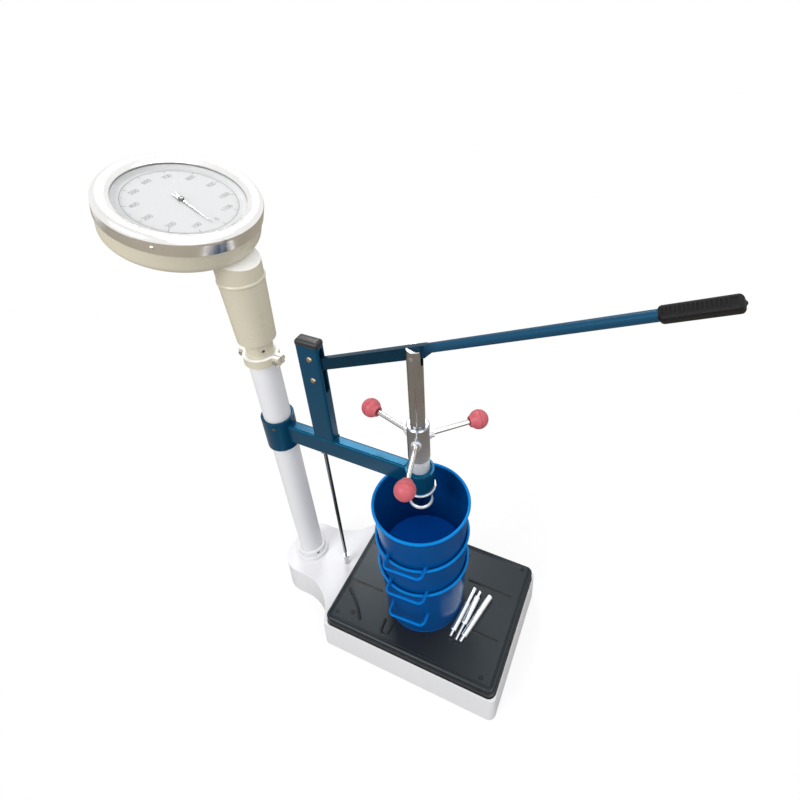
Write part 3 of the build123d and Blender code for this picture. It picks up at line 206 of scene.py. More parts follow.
white_enamel = finish("white_enamel", (0.78, 0.78, 0.80), 0.42, shade=0.04, relief=0.00003,
                      specular=0.15, edge_colour=(0.46, 0.43, 0.38), edge_width=0.0016)
dress(white_enamel, "base_casing")

# Weighing gear inside the casing: two levers, their stands and bearings of rough cast iron, painted
# dark, the plated draw rod that they pull, and the rolled steel plate that they carry.
cast_iron = finish("cast_iron", (0.05, 0.052, 0.056), 0.72, shade=0.5, patch=30.0, grain=420.0,
                   relief=0.0003)
dress(cast_iron, "main_lever", "short_lever", "fulcrum_stands", "platform_bearings")
zinc = finish("zinc_plate", (0.55, 0.56, 0.57), 0.36, shade=0.25, patch=70.0, smear=0.2, metal=1.0)
dress(zinc, "draw_rod", "draw_nut", "spring_collar", "spring_hanger")
plate_steel = finish("rolled_plate", (0.42, 0.42, 0.43), 0.48, shade=0.3, patch=18.0, smear=0.25,
                     metal=0.9)
dress(plate_steel, "platform_plate")

# Platform mat: one moulded sheet of black rubber, pulled down over the plate's edges. Its rim is
# rolled, a groove and a thin rib run inside the rim, and low ribs and plugs mark its face.
mat_low, mat_high = (Vector(corner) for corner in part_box("platform_mat"))
mat_corner, mat_roll, mat_wall = 0.013, 0.0052, 0.0021
round_segments, hair, near_square, dead_square = 8, 1e-5, 0.9, 0.999
rim_steps = ((0.0006, 0), (0.0014, -0.0015), (0.0013, 0),
             (0.0010, 0.0011), (0.0006, 0), (0.0008, -0.0006))
mat_face = mat_high.z - 0.001
rib_radius, rib_sink = 0.0034, 0.0020
straight, bowed, hooked = 0, 0.012, 0.006
rib_routes = (
    (((-0.148, -0.041), (-0.079, -0.040)), straight),
    (((0.114, -0.041), (0.170, -0.041)), straight),
    (((0.074, 0.054), (0.166, 0.051)), straight),
    (((-0.148, 0.052), (-0.066, 0.054)), straight),
    (((-0.146, -0.059), (-0.112, -0.084), (-0.093, -0.108)), bowed),
    (((-0.146, 0.066), (-0.112, 0.088), (-0.093, 0.108)), bowed),
    (((-0.047, -0.086), (-0.045, -0.113), (-0.030, -0.116), (-0.029, -0.090)), hooked),
    (((0.046, -0.090), (0.056, -0.112)), straight),
    (((0.046, 0.082), (0.056, 0.108)), straight),
)
plug_outline = ((0, 0.0003), (0.0022, 0.0003), (0.0027, 0.0009),
                (0.0038, 0.0009), (0.0044, -0.0004), (0, -0.0004))
plug_places = ((0.161, -0.112), (0.171, 0.119), (-0.143, -0.111), (-0.143, 0.119), (-0.113, -0.100))


def pick(piece, kind, wanted):
    """In edit mode, select the faces or edges whose middle and direction pass a test."""
    bpy.ops.mesh.select_mode(type=kind)
    bpy.ops.mesh.select_all(action="DESELECT")
    bpy.ops.object.mode_set(mode="OBJECT")
    shape = piece.data
    if kind == "FACE":
        for face in shape.polygons:
            face.select = wanted(face.center, face.normal)
    else:
        for edge in shape.edges:
            near, far = (shape.vertices[end].co for end in edge.vertices)
            edge.select = wanted((near + far) / 2, (far - near).normalized())
    bpy.ops.object.mode_set(mode="EDIT")


def rounded(piece, wanted, radius, segments):
    """In edit mode, round off the edges whose middle and direction pass a test."""
    pick(piece, "EDGE", wanted)
    bpy.ops.mesh.bevel(offset=radius, segments=segments, affect="EDGES")


def block(title, low, high):
    """A squared block between two corners, left in edit mode."""
    bpy.ops.object.select_all(action="DESELECT")
    bpy.ops.mesh.primitive_cube_add(size=1, location=(Vector(low) + Vector(high)) / 2)
    piece = bpy.context.object
    piece.name = title
    piece.scale = Vector(high) - Vector(low)
    bpy.ops.object.transform_apply(location=True, rotation=True, scale=True)
    bpy.ops.object.mode_set(mode="EDIT")
    return piece


def point_path(title, route):
    """A run of edges through points, left in edit mode with all of it selected."""
    bpy.ops.object.select_all(action="DESELECT")
    bpy.ops.mesh.primitive_plane_add(size=0.001, location=route[0])
    piece = bpy.context.object
    piece.name = title
    bpy.ops.object.transform_apply(location=True, rotation=True, scale=True)
    bpy.ops.object.mode_set(mode="EDIT")
    bpy.ops.mesh.select_mode(type="VERT")
    bpy.ops.mesh.select_all(action="SELECT")
    bpy.ops.mesh.merge(type="CENTER")
    for near, far in zip(route, route[1:]):
        step = Vector(far) - Vector(near)
        bpy.ops.mesh.extrude_vertices_move(TRANSFORM_OT_translate={"value": step})
    bpy.ops.mesh.select_all(action="SELECT")
    return piece


merge_reach = 1e-6


def close_up(piece, crease=35.0):
    """Merge doubled points, turn the faces outwards and smooth all but the sharp edges."""
    bpy.ops.mesh.select_mode(type="VERT")
    bpy.ops.mesh.select_all(action="SELECT")
    bpy.ops.mesh.remove_doubles(threshold=merge_reach)
    bpy.ops.mesh.normals_make_consistent(inside=False)
    bpy.ops.object.mode_set(mode="OBJECT")
    bpy.ops.object.shade_smooth_by_angle(angle=radians(crease))
    return piece


def turned(title, outline, foot=(0, 0, 0), axis=(0, 0, 1), steps=72):
    """An outline of (radius, height) points turned about an axis through foot, as on a lathe."""
    axis = Vector(axis).normalized()
    side = axis.orthogonal().normalized()
    route = [Vector(foot) + side * radius + axis * height for radius, height in outline]
    piece = point_path(title, route)
    bpy.ops.mesh.spin(steps=steps, angle=2 * pi, center=foot, axis=axis)
    return close_up(piece)


bead_crease, bead_fineness, bend_segments, ripple_cuts, ripple_seed = 60.0, 3, 6, 3, 4


def bead(title, route, radius, rounding=0.0, ring=False, ripple=0.0):
    """A round bead along a route of points, with rounded corners and a rippled skin if asked."""
    piece = point_path(title, [*route, route[0]] if ring else route)
    if ring:
        bpy.ops.mesh.remove_doubles(threshold=merge_reach)
    if rounding:
        bpy.ops.mesh.bevel(offset=rounding, segments=bend_segments, affect="VERTICES")
    bpy.ops.object.mode_set(mode="OBJECT")
    bpy.ops.object.convert(target="CURVE")
    line = bpy.context.object.data
    line.bevel_depth = radius
    line.bevel_resolution = bead_fineness
    line.use_fill_caps = True
    bpy.ops.object.convert(target="MESH")
    piece = bpy.context.object
    bpy.ops.object.mode_set(mode="EDIT")
    if ripple:
        bpy.ops.mesh.select_all(action="SELECT")
        bpy.ops.mesh.subdivide(number_cuts=ripple_cuts)
        bpy.ops.transform.vertex_random(offset=ripple, seed=ripple_seed)
    return close_up(piece, bead_crease)


def joined(title, pieces):
    """Several pieces made one object."""
    bpy.ops.object.select_all(action="DESELECT")
    for piece in pieces:
        piece.select_set(True)
    bpy.context.view_layer.objects.active = pieces[0]
    bpy.ops.object.join()
    pieces[0].name = title
    return pieces[0]


def coat(piece, material):
    """Give a new piece one finish all over."""
    piece.data.materials.clear()
    piece.data.materials.append(material)


def settle(piece, body, slot_name, material, *replaced):
    """Give a piece its finish, the body that it rides on and the solids that it stands for."""
    coat(piece, material)
    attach(piece, body)
    if replaced:
        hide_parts(*replaced)


mat_cover = block("mat_cover", mat_low, mat_high)
rounded(mat_cover, lambda middle, way: abs(way.z) > near_square, mat_corner, round_segments)
rounded(mat_cover, lambda middle, way: middle.z > mat_high.z - hair, mat_roll, round_segments)
pick(mat_cover, "FACE", lambda middle, way: way.z < -near_square)
bpy.ops.mesh.delete(type="FACE")
pick(mat_cover, "FACE", lambda middle, way: way.z > dead_square)
for step_width, step_rise in rim_steps:
    bpy.ops.mesh.inset(thickness=step_width, depth=step_rise)
bpy.ops.object.mode_set(mode="OBJECT")
sheet = mat_cover.modifiers.new("sheet", "SOLIDIFY")
sheet.thickness, sheet.offset = mat_wall, -1
bpy.ops.object.modifier_apply(modifier="sheet")
bpy.ops.object.shade_smooth_by_angle(angle=radians(25))
# The slightly lighter second colour along the mat's rolled rim and corners is a painted highlight.
mat_rubber = finish("mat_rubber", (0.011, 0.013, 0.016), 0.34, shade=0.3, patch=9.0, smear=0.08,
                    grain=1500.0, relief=0.00003, specular=0.36, sheen_of=(0.8, 0.93, 1),
                    edge_colour=(0.014, 0.016, 0.02), edge_width=0.0012)
settle(mat_cover, "platform", "mat_rubber", mat_rubber, "platform_mat")
mat_ribs = joined("mat_ribs", [
    bead("mat_rib", [(x, y, mat_face - rib_sink) for x, y in route], rib_radius, rounding)
    for route, rounding in rib_routes
])
# A darker copy of the mat's own rubber for the ribs and plugs: painted shade.
shaded_rib_rubber = finish("shaded_rib_rubber", (0.005, 0.0056, 0.0066), 0.3, shade=0.3, patch=30.0, specular=0.3)
settle(mat_ribs, "platform", "mat_rubber", shaded_rib_rubber)
mat_plugs = joined("mat_plugs", [
    turned("mat_plug", plug_outline, (x, y, mat_face), steps=24) for x, y in plug_places
])
settle(mat_plugs, "platform", "mat_rubber", shaded_rib_rubber)

# Column: a steel tube that stands in a turned flange on the deck, both enamelled white like the
# casing, and held by a dark set screw.
dress(white_enamel, "column_tube", "column_flange")
dark_steel = finish("oiled_steel", (0.16, 0.16, 0.165), 0.34, shade=0.3, patch=55.0, smear=0.2,
                    metal=0.9)
dress(dark_steel, "flange_screw")

# Weighing spring: a coil of oiled steel wire round the draw rod, inside the column. Its upper end
# stays on a disc in the tube, and the rod's collar draws its lower end down, which stretches it.
column_x, spring_low, spring_high = -0.279, 0.448, 0.560
coil_radius, wire_radius, coil_turns, turn_steps = 0.012, 0.00183, 12, 32
coil_climb = spring_high - spring_low - 2 * wire_radius
coil_route = []
for step in range(coil_turns * turn_steps + 1):
    coil_angle = 2 * pi * step / turn_steps
    coil_route.append((
        column_x + coil_radius * cos(coil_angle),
        coil_radius * sin(coil_angle),
        spring_low + wire_radius + coil_climb * step / (coil_turns * turn_steps),
    ))
spring_coil = bead("spring_coil", coil_route, wire_radius)
coat(spring_coil, dark_steel)
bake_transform(spring_coil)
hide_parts("weighing_spring")

# Press bracket: square tube, ring and collar welded into one frame and sprayed deep blue, with
# three dark screws that grip the column. The weld beads stay rough under the paint, which fills the
# root round the collar's mouth. The tube's corners are painted a paler blue, a painted highlight.
bracket_blue = finish("bracket_blue", (0.002, 0.044, 0.096), 0.2, shade=0.2, patch=26.0, smear=0.08,
                      relief=0.00003, specular=0.5, sheen_of=(0.06, 0.56, 1),
                      edge_colour=(0.006, 0.08, 0.16), edge_width=0.0014)
dress(bracket_blue, "bracket_frame")
dress(dark_steel, "ring_screws")
arm_half, arm_low, arm_top = 0.010, 0.443, 0.483
ring_radius, collar_radius = 0.029, 0.024
post_left, post_right, post_top = -0.198, -0.158, 0.686
weld_radius, weld_stand_off, weld_ripple = 0.0014, 0.0012, 0.0002
arm_weld_bend, post_weld_bend = 0.004, 0.003
ring_seam = column_x + sqrt(ring_radius ** 2 - arm_half ** 2) + weld_stand_off
collar_seam = -sqrt(collar_radius ** 2 - arm_half ** 2) - weld_stand_off
arm_section = ((-arm_half, arm_low), (arm_half, arm_low), (arm_half, arm_top), (-arm_half, arm_top))
post_section = ((post_left, -arm_half), (post_right, -arm_half),
                (post_right, arm_half), (post_left, arm_half))
weld_routes = [([(seam_x, y, z) for y, z in arm_section], arm_weld_bend)
               for seam_x in (ring_seam, collar_seam)]
weld_routes.append(([(x, y, arm_top) for x, y in post_section], post_weld_bend))
bracket_welds = joined("bracket_welds", [
    bead("weld", route, weld_radius, bend, ring=True, ripple=weld_ripple)
    for route, bend in weld_routes
])
settle(bracket_welds, "frame", "bracket_blue", bracket_blue)
fillet_foot = 0.4825
fillet_outline = ((0.0166, 0), (0.0166, 0.0015), (0.0171, 0.0016), (0.0200, 0.0009),
                  (0.0210, 0.0004), (0.0210, 0), (0.0166, 0))
collar_fillet = turned("collar_fillet", fillet_outline, (0, 0, fillet_foot))
settle(collar_fillet, "frame", "bracket_blue", bracket_blue)

# Post fittings: two yellow-plated fulcrum pins through the post, and a cap of black plastic,
# moulded with a low crown, that is pushed into the post's open top.
yellow_zinc = finish("yellow_zinc", (0.46, 0.385, 0.28), 0.32, shade=0.3, patch=120.0, smear=0.15,
                     metal=1.0)
dress(yellow_zinc, "fulcrum_pins")
cap_low, cap_high = (Vector(corner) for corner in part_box("post_cap"))
cap_skirt, cap_corner = cap_high.z - 0.0050, 0.0026
cap_middle = Vector(((cap_low.x + cap_high.x) / 2, (cap_low.y + cap_high.y) / 2, cap_skirt))
cap_half = ((cap_high.x - cap_low.x) / 2, (cap_high.y - cap_low.y) / 2, 0)
cap_crown = ((0.0003, 0.0017), (0.0008, 0.0014), (0.0014, 0.0009),
             (0.0022, 0.0006), (0.0032, 0.0004))


def crowned(middle, half, way, steps):
    """Carry the picked end face outwards in steps of (draw in, rise), and keep its outline."""
    for draw_in, rise in steps:
        bpy.ops.mesh.extrude_region_move(TRANSFORM_OT_translate={"value": Vector(way) * rise})
        shares = [1 - draw_in / size if size else 1 for size in half]
        bpy.ops.transform.resize(value=shares, center_override=middle)
        half = [size - draw_in if size else 0 for size in half]


cap = block("post_cap_dome", (cap_low.x, cap_low.y, post_top), (cap_high.x, cap_high.y, cap_skirt))
rounded(cap, lambda middle, way: abs(way.z) > near_square, cap_corner, segments=6)
pick(cap, "FACE", lambda middle, way: way.z > near_square)
crowned(cap_middle, cap_half, (0, 0, 1), cap_crown)
bpy.ops.object.mode_set(mode="OBJECT")
bpy.ops.object.shade_smooth_by_angle(angle=radians(45))
# The cap's lighter second colour along its sharp corners is a painted highlight.
cap_black = finish("cap_plastic", (0.016, 0.016, 0.018), 0.4, shade=0.4, patch=60.0, grain=1400.0,
                   relief=0.00005, edge_colour=(0.035, 0.035, 0.038))
settle(cap, "frame", "cap_black", cap_black, "post_cap")

# Tie rod: a bright drawn steel rod that holds the bracket's arm down to the deck, screwed at both
# ends into plated ferrules and nuts.
rod_steel = finish("rod_steel", (0.30, 0.305, 0.31), 0.12, shade=0.2, patch=55.0, smear=0.1,
                   metal=1.0)
dress(rod_steel, "tie_rod")

# Tool marks: fine lines drawn out along one way, as a lathe or a grinding wheel leaves them
mark_detail = 6.0
tool_marks, marks_in, marks_out = shader_group(
    "tool_marks", (("Stretch", "Vector"), ("Fine", "Float")), (("Lines", "Float"),))
drawn_out = tool_marks.nodes.new("ShaderNodeVectorMath")
drawn_out.operation = "MULTIPLY"
tool_marks.links.new(object_point(tool_marks), drawn_out.inputs[0])
tool_marks.links.new(marks_in.outputs["Stretch"], drawn_out.inputs[1])
lines = noise_field(tool_marks, drawn_out.outputs[0], marks_in.outputs["Fine"], mark_detail)
tool_marks.links.new(lines, marks_out.inputs["Lines"])


def machined(title, colour, gloss, stretch, streak, fine=60.0, scratch=0.000004, metal=1.0):
    """Bare or plated metal with tool marks drawn out along one way."""
    made = finish(title, colour, gloss, shade=0.15, patch=40.0, smear=0.12, metal=metal)
    tree = made.node_tree
    base = tree.nodes["Principled BSDF"].inputs["Base Color"]
    marks = use_group(tree, tool_marks, {"Stretch": stretch, "Fine": fine})
    light = swing(tree, marks.outputs["Lines"], streak * 2, 1.0)
    tree.links.new(scaled(tree, base.links[0].from_socket, light), base)
    bumped(tree, marks.outputs["Lines"], scratch)
    return made


turning_marks = (1, 1, 30)
nut_chrome = machined("nut_chrome", (0.60, 0.60, 0.60), 0.22, turning_marks, streak=0.04)
dress(nut_chrome, "tie_rod_nuts")

# Guide sleeve: a plated steel bush pressed through the bracket's collar, in which the spindle
# slides. It was drawn through a die, so its marks run lengthways, and it ends below in a flat lip.
drawing_marks = (40, 40, 0.4)
sleeve_chrome = machined("sleeve_chrome", (0.72, 0.74, 0.79), 0.28, drawing_marks, streak=0.35,
                         metal=0.45)
dress(sleeve_chrome, "guide_sleeve")
sleeve_lip_foot = 0.4374
sleeve_lip_outline = ((0.0167, 0), (0.0256, 0), (0.0262, 0.0006), (0.0262, 0.0028),
                      (0.0256, 0.0035), (0.0167, 0.0035), (0.0167, 0))
sleeve_lip = turned("sleeve_lip", sleeve_lip_outline, (0, 0, sleeve_lip_foot))
settle(sleeve_lip, "frame", "chrome", sleeve_chrome)

# Locking star: a plated hub that squeezes the spindle's collet, three plated rods with flanged lock
# nuts, and pink plastic balls screwed on their ends. Each ball has a moulded mouth and a fine
# parting groove.
hub_steel = machined("hub_steel", (0.36, 0.375, 0.41), 0.2, turning_marks, streak=0.08)
dress(hub_steel, "lock_hub")
dress(zinc, "spindle_collet")
bright_chrome = machined("bright_chrome", (0.58, 0.58, 0.575), 0.14, turning_marks, streak=0.04)
dress(bright_chrome, "star_rods")
dress(nut_chrome, "star_nuts")
star_height, star_arms, first_bearing = 0.556, 3, 44.3
ball_reach, ball_radius, ball_steps, mouth_end = 0.102, 0.016, 48, -0.0095
groove_depth, groove_half = 0.0011, 0.0005
ball_outline = [(0.00405, 0.0019), (0.00405, -0.0125), (0.0062, -0.0155), (0.0078, -0.0161),
                (0.0087, -0.0158), (0.0092, -0.0150), (0.0100, -0.0132), (0.0112, -0.0112)]
for ball_step in range(ball_steps + 1):
    rise = mouth_end + ball_step * (ball_radius - mouth_end) / ball_steps
    cut = groove_depth if abs(rise) < groove_half else 0
    ball_outline.append((sqrt(max(ball_radius ** 2 - rise ** 2, 0)) - cut, rise))
flange_outline = ((0.0060, 0.0160), (0.0082, 0.0160), (0.0082, 0.0199),
                  (0.0079, 0.0206), (0.0072, 0.0208), (0.0060, 0.0208))
star_middle = Vector((0, 0, star_height))
balls, flanges = [], []
for arm in range(star_arms):
    bearing = radians(first_bearing + 360 * arm / star_arms)
    out = Vector((cos(bearing), sin(bearing), 0))
    balls.append(turned("star_ball", ball_outline, out * ball_reach + star_middle, out))
    flanges.append(turned("nut_flange", flange_outline, star_middle, out, steps=48))
settle(joined("nut_flanges", flanges), "lock", "chrome", sleeve_chrome)
# The lighter pink along the balls' sharp corners is a painted highlight.
knob_pink = finish("knob_pink", (0.53, 0.105, 0.13), 0.36, shade=0.1, patch=45.0, smear=0.1,
                   grain=900.0, relief=0.00002, specular=0.3, edge_colour=(0.58, 0.16, 0.185))
settle(joined("star_balls", balls), "lock", "knob_pink", knob_pink, "ball_knobs")

# Press spindle: a ground steel bar, forked at its top for the lever, with a plated needle chuck
# at its foot and a dark screw in the chuck. Grinding marks run round it, and its steel is painted
# darker than bare ground steel, a painted shade for the dark surroundings that it mirrors.
grinding_marks = (1, 1, 24)
ground_steel = machined("ground_steel", (0.37, 0.375, 0.385), 0.24, grinding_marks, streak=0.1)
dress(ground_steel, "spindle")
dress(bright_chrome, "needle_chuck")
dress(dark_steel, "chuck_screw")
chuck_lip_foot = 0.3998
chuck_lip_outline = ((0.0176, 0), (0.0202, 0), (0.0208, 0.0004), (0.0207, 0.0010),
                     (0.0180, 0.0044), (0.0176, 0.0047), (0.0176, 0))
chuck_lip = turned("chuck_lip", chuck_lip_outline, (0, 0, chuck_lip_foot))
settle(chuck_lip, "spindle", "ground_steel", sleeve_chrome)

# Hand lever: a flat steel foot welded to a round bar, finished in dark hammered blue, and pinned in
# the spindle's fork. A black rubber grip with a ribbed upper face is pushed on its end.
dress(zinc, "fork_pin")
lever_slope, bar_bend = radians(24.3), radians(25.0)
foot_along = Vector((cos(lever_slope), 0, sin(lever_slope)))
foot_up = Vector((-sin(lever_slope), 0, cos(lever_slope)))
bar_way = Vector((cos(bar_bend), 0, sin(bar_bend)))
bar_up = Vector((-sin(bar_bend), 0, cos(bar_bend)))
pin_height, foot_lift, foot_reach, bar_lift = 0.720, 0.0041, 0.024, 0.003
bar_root = Vector((0, 0, pin_height)) + foot_along * foot_reach + foot_up * (foot_lift + bar_lift)
# The round bar gets a lighter blue than the foot, a painted sheen, and the lever's lighter corner
# colour is a painted highlight.
bar_sheen_blue, bar_fade_start, bar_fade_end = (0.012, 0.056, 0.110), 0.012, 0.034
lever_blue = finish("hammered_blue", (0.0015, 0.021, 0.043), 0.34, shade=0.7, patch=120.0,
                    smear=0.15, grain=420.0, relief=0.00025, specular=0.2,
                    sheen_of=(0.15, 0.6, 1), edge_colour=(0.008, 0.06, 0.10))


def coordinate(tree, source, axis):
    """One coordinate of the shaded point or of its normal."""
    split = tree.nodes.new("ShaderNodeSeparateXYZ")
    tree.links.new(tree.nodes.new("ShaderNodeTexCoord").outputs[source], split.inputs[0])
    return split.outputs[axis]


def ramp(tree, source, axis, low, high):
    """A mask that rises from black to white along one coordinate of the point or its normal."""
    slope = tree.nodes.new("ShaderNodeMapRange")
    give(slope, {"From Min": low, "From Max": high})
    tree.links.new(coordinate(tree, source, axis), slope.inputs["Value"])
    return slope.outputs["Result"]


# Lay the painted sheen over the round bar.
lever_tree = lever_blue.node_tree
laid_over(lever_tree, ramp(lever_tree, "Object", "X", bar_fade_start, bar_fade_end), bar_sheen_blue)
dress(lever_blue, "lever_bar")
grip_start, grip_length, grip_half, grip_roll = 0.2945, 0.080, 0.0085, radians(36)
grip_corner, grip_round, grip_round_steps = 0.0035, 0.005, 6
face_border, face_depth = 0.0004, 0.0009
grip_rib_count, grip_rib_pitch, grip_rib_half = 15, 0.0042, 0.0046
grip_rib_low = Vector((0.0062, -grip_rib_half, grip_half - 0.002))
grip_rib_high = Vector((0.0088, grip_rib_half, grip_half + 0.0006))
grip_rib_round, flash_radius = 0.0009, 0.0005
nub_outline = ((0, -0.001), (0.0036, -0.001), (0.0034, 0.0002), (0.0024, 0.0006),
               (0.0015, 0.0016), (0.0008, 0.0018), (0, 0.0016))


def quarter_round(radius, steps):
    """Steps of (draw in, rise) round a quarter circle."""
    angles = [radians(90 * step / steps) for step in range(steps + 1)]
    return [(radius * (cos(near) - cos(far)), radius * (sin(far) - sin(near)))
            for near, far in zip(angles, angles[1:])]


def stand(piece, place, across, along, up):
    """Move the selected piece from the origin to a place, with its axes along three directions."""
    axes = Matrix((across, along, up)).transposed().to_4x4()
    piece.matrix_world = Matrix.Translation(place) @ axes
    bpy.ops.object.transform_apply(location=True, rotation=True, scale=True)


grip = block("grip_sleeve", (grip_round, -grip_half, -grip_half),
             (grip_length - grip_round, grip_half, grip_half))
rounded(grip, lambda middle, way: abs(way.x) > near_square, grip_corner, round_segments)
pick(grip, "FACE", lambda middle, way: way.z > dead_square)
bpy.ops.mesh.inset(thickness=face_border, depth=0)
bpy.ops.mesh.inset(thickness=face_border, depth=-face_depth)
for grip_end in (-1, 1):
    pick(grip, "FACE", lambda middle, way: way.x * grip_end > dead_square)
    crowned((0, 0, 0), (0, grip_half, grip_half), (grip_end, 0, 0),
            quarter_round(grip_round, grip_round_steps))
bpy.ops.object.mode_set(mode="OBJECT")
nub = turned("grip_nub", nub_outline, (grip_length, 0, 0), (1, 0, 0), steps=32)
grip_rib = block("grip_rib", grip_rib_low, grip_rib_high)
rounded(grip_rib, lambda middle, way: middle.z > grip_half, grip_rib_round, segments=4)
bpy.ops.object.mode_set(mode="OBJECT")
row = grip_rib.modifiers.new("row", "ARRAY")
row.count, row.use_relative_offset, row.use_constant_offset = grip_rib_count, False, True
row.constant_offset_displace = (grip_rib_pitch, 0, 0)
bpy.ops.object.modifier_apply(modifier="row")
flash_edge = grip_half - grip_corner * (1 - sqrt(0.5))
flash_route = [(x, -flash_edge, flash_edge) for x in (grip_round, grip_length - grip_round)]
flash = bead("grip_flash", flash_route, flash_radius)
grip = joined("grip_sleeve", [grip, grip_rib, flash, nub])
grip_across = Vector((0, cos(grip_roll), 0)) + bar_up * sin(grip_roll)
grip_up = bar_up * cos(grip_roll) - Vector((0, sin(grip_roll), 0))
stand(grip, bar_root + bar_way * grip_start, bar_way, grip_across, grip_up)
bpy.ops.object.shade_smooth_by_angle(angle=radians(40))
# The grip's lighter second colour along its sharp corners is a painted highlight.
grip_rubber = finish("grip_rubber", (0.0075, 0.0072, 0.0078), 0.5, shade=0.35, patch=70.0,
                     smear=0.2, grain=1600.0, relief=0.00006, specular=0.15,
                     edge_colour=(0.03, 0.029, 0.032))
settle(grip, "lever", "grip_rubber", grip_rubber, "lever_grip")

# Neck and dial housing: spun and pressed sheet, enamelled cream like a shop scale. Its upward faces
# are painted paler, a painted top light, and its sharp corners lighter, a painted highlight. The
# neck's sleeve turns on the column, is held by a split clamp with two plated screws, and carries a
# small key block with a dark screw.
cream_enamel = finish("cream_enamel", (0.63, 0.585, 0.46), 0.28, shade=0.06, patch=12.0,
                      relief=0.00002, edge_colour=(0.72, 0.68, 0.57))
cream_tree = cream_enamel.node_tree
# Paler cream on faces that point up is painted top light.
cream_top_light, top_light_start, top_light_end = (0.93, 0.925, 0.91), 0.7, 0.93
laid_over(cream_tree, ramp(cream_tree, "Normal", "Z", top_light_start, top_light_end), cream_top_light)
dress(cream_enamel, "neck_sleeve", "neck_key", "neck_clamp", "dial_housing")
dress(zinc, "clamp_screws")
key_bearing, key_half, key_screw_height = radians(-35), 0.0065, 0.656
key_way = Vector((cos(key_bearing), sin(key_bearing), 0))
key_corner = Vector(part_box("neck_key")[1])
key_face = (key_corner.x - column_x - key_half * abs(key_way.y)) / key_way.x
key_screw_outline = ((0, 0.0004), (0.0009, 0.0004), (0.0011, 0.0011), (0.0022, 0.0009),
                     (0.0026, 0.0002), (0.0026, -0.0006), (0, -0.0006))
key_screw_seat = Vector((column_x, 0, key_screw_height)) + key_way * key_face
key_screw = turned("key_screw", key_screw_outline, key_screw_seat, key_way, steps=24)
settle(key_screw, "head", "dark_steel", dark_steel)

# Dial movement: a plated bell crank on its bracket, a brass rack, pinion and bridge behind the
# dial, and the steel pointer that they turn. A small turned steel cap hides the pointer's hub.
dress(zinc, "bell_crank", "crank_bracket")
movement_brass = machined("movement_brass", (0.62, 0.42, 0.17), 0.32, stretch=(1, 1, 12),
                          streak=0.15)
dress(movement_brass, "pinion_arbor", "rack", "arbor_bridge")
pointer_paint = finish("pointer_satin", (0.34, 0.34, 0.35), 0.35, shade=0.2, patch=90.0, metal=0.8)
dress(pointer_paint, "pointer")
head_tilt = radians(17.66)
head_centre = Vector((-0.348, 0, 0.8972))
dial_down = Vector((cos(head_tilt), 0, -sin(head_tilt)))
dial_out = Vector((sin(head_tilt), 0, cos(head_tilt)))
dial_right = Vector((0, 1, 0))


def on_dial(clockwise, radius, depth):
    """A point on the head, by its angle from the reader's lowest point, radius and depth."""
    angle = radians(clockwise)
    aside = dial_down * cos(angle) - dial_right * sin(angle)
    return head_centre + aside * radius - dial_out * depth


hub_depth = 0.0086
hub_outline = ((0, -0.0003), (0.0042, -0.0003), (0.0042, 0.0004),
               (0.0036, 0.0009), (0.0015, 0.0011), (0, 0.0011))
pointer_cap = turned("pointer_cap", hub_outline, on_dial(0, 0, hub_depth), dial_out, steps=40)
settle(pointer_cap, "pointer", "pointer_metal", dark_steel)

# Dial face: a dished white sheet with a printed circle, a mark each ten newtons and plain numbers,
# all set upright for the reader. The print is grey ink.
dial_white = finish("dial_white", (0.585, 0.59, 0.595), 0.6, shade=0.03, patch=9.0, grain=1200.0,
                    relief=0.00001, specular=0.12)
dress(dial_white, "dial_face")
dial_ink = finish("dial_ink", (0.22, 0.225, 0.235), 0.5, shade=0.2, patch=200.0, smear=0.05)
dial_depth, ink = 0.01192, 0.00006
scale_radius, scale_sweep, scale_hundreds = 0.0755, 330, 11
circle_width, mark_overlap = 0.0008, 0.0001
mark_kinds = ((0.0026, 0.00035, 110), (0.0042, 0.0006, 22), (0.0058, 0.0009, 11))
figure_radius, figure_size, figure_spacing = 0.060, 0.0105, 0.95
circle_outline = ((scale_radius, 0), (scale_radius, ink), (scale_radius + circle_width, ink),
                  (scale_radius + circle_width, 0), (scale_radius, 0))
dial_middle = on_dial(0, 0, dial_depth)
prints = [turned("dial_circle", circle_outline, dial_middle, dial_out, steps=180)]
for mark_length, mark_width, mark_count in mark_kinds:
    mark = block("dial_marks", (scale_radius - mark_length, -mark_width / 2, 0),
                 (scale_radius + mark_overlap, mark_width / 2, ink))
    bpy.ops.mesh.select_all(action="SELECT")
    bpy.ops.mesh.spin(dupli=True, steps=mark_count, angle=radians(scale_sweep),
                      center=(0, 0, 0), axis=(0, 0, -1))
    bpy.ops.object.mode_set(mode="OBJECT")
    stand(mark, dial_middle, dial_down, dial_right, dial_out)
    prints.append(mark)
for hundred in range(scale_hundreds + 1):
    bpy.ops.object.select_all(action="DESELECT")
    bpy.ops.object.text_add()
    figure = bpy.context.object
    figure.data.body = str(hundred * 100)
    figure.data.align_x, figure.data.align_y = "CENTER", "CENTER"
    figure.data.size, figure.data.extrude = figure_size, ink / 2
    figure.data.space_character = figure_spacing
    bpy.ops.object.convert(target="MESH")
    figure = bpy.context.object
    figure_angle = scale_sweep * hundred / scale_hundreds
    figure_place = on_dial(figure_angle, figure_radius, dial_depth - ink / 2)
    stand(figure, figure_place, dial_right, -dial_down, dial_out)
    prints.append(figure)
settle(joined("dial_print", prints), "head", "pointer_metal", dial_ink)

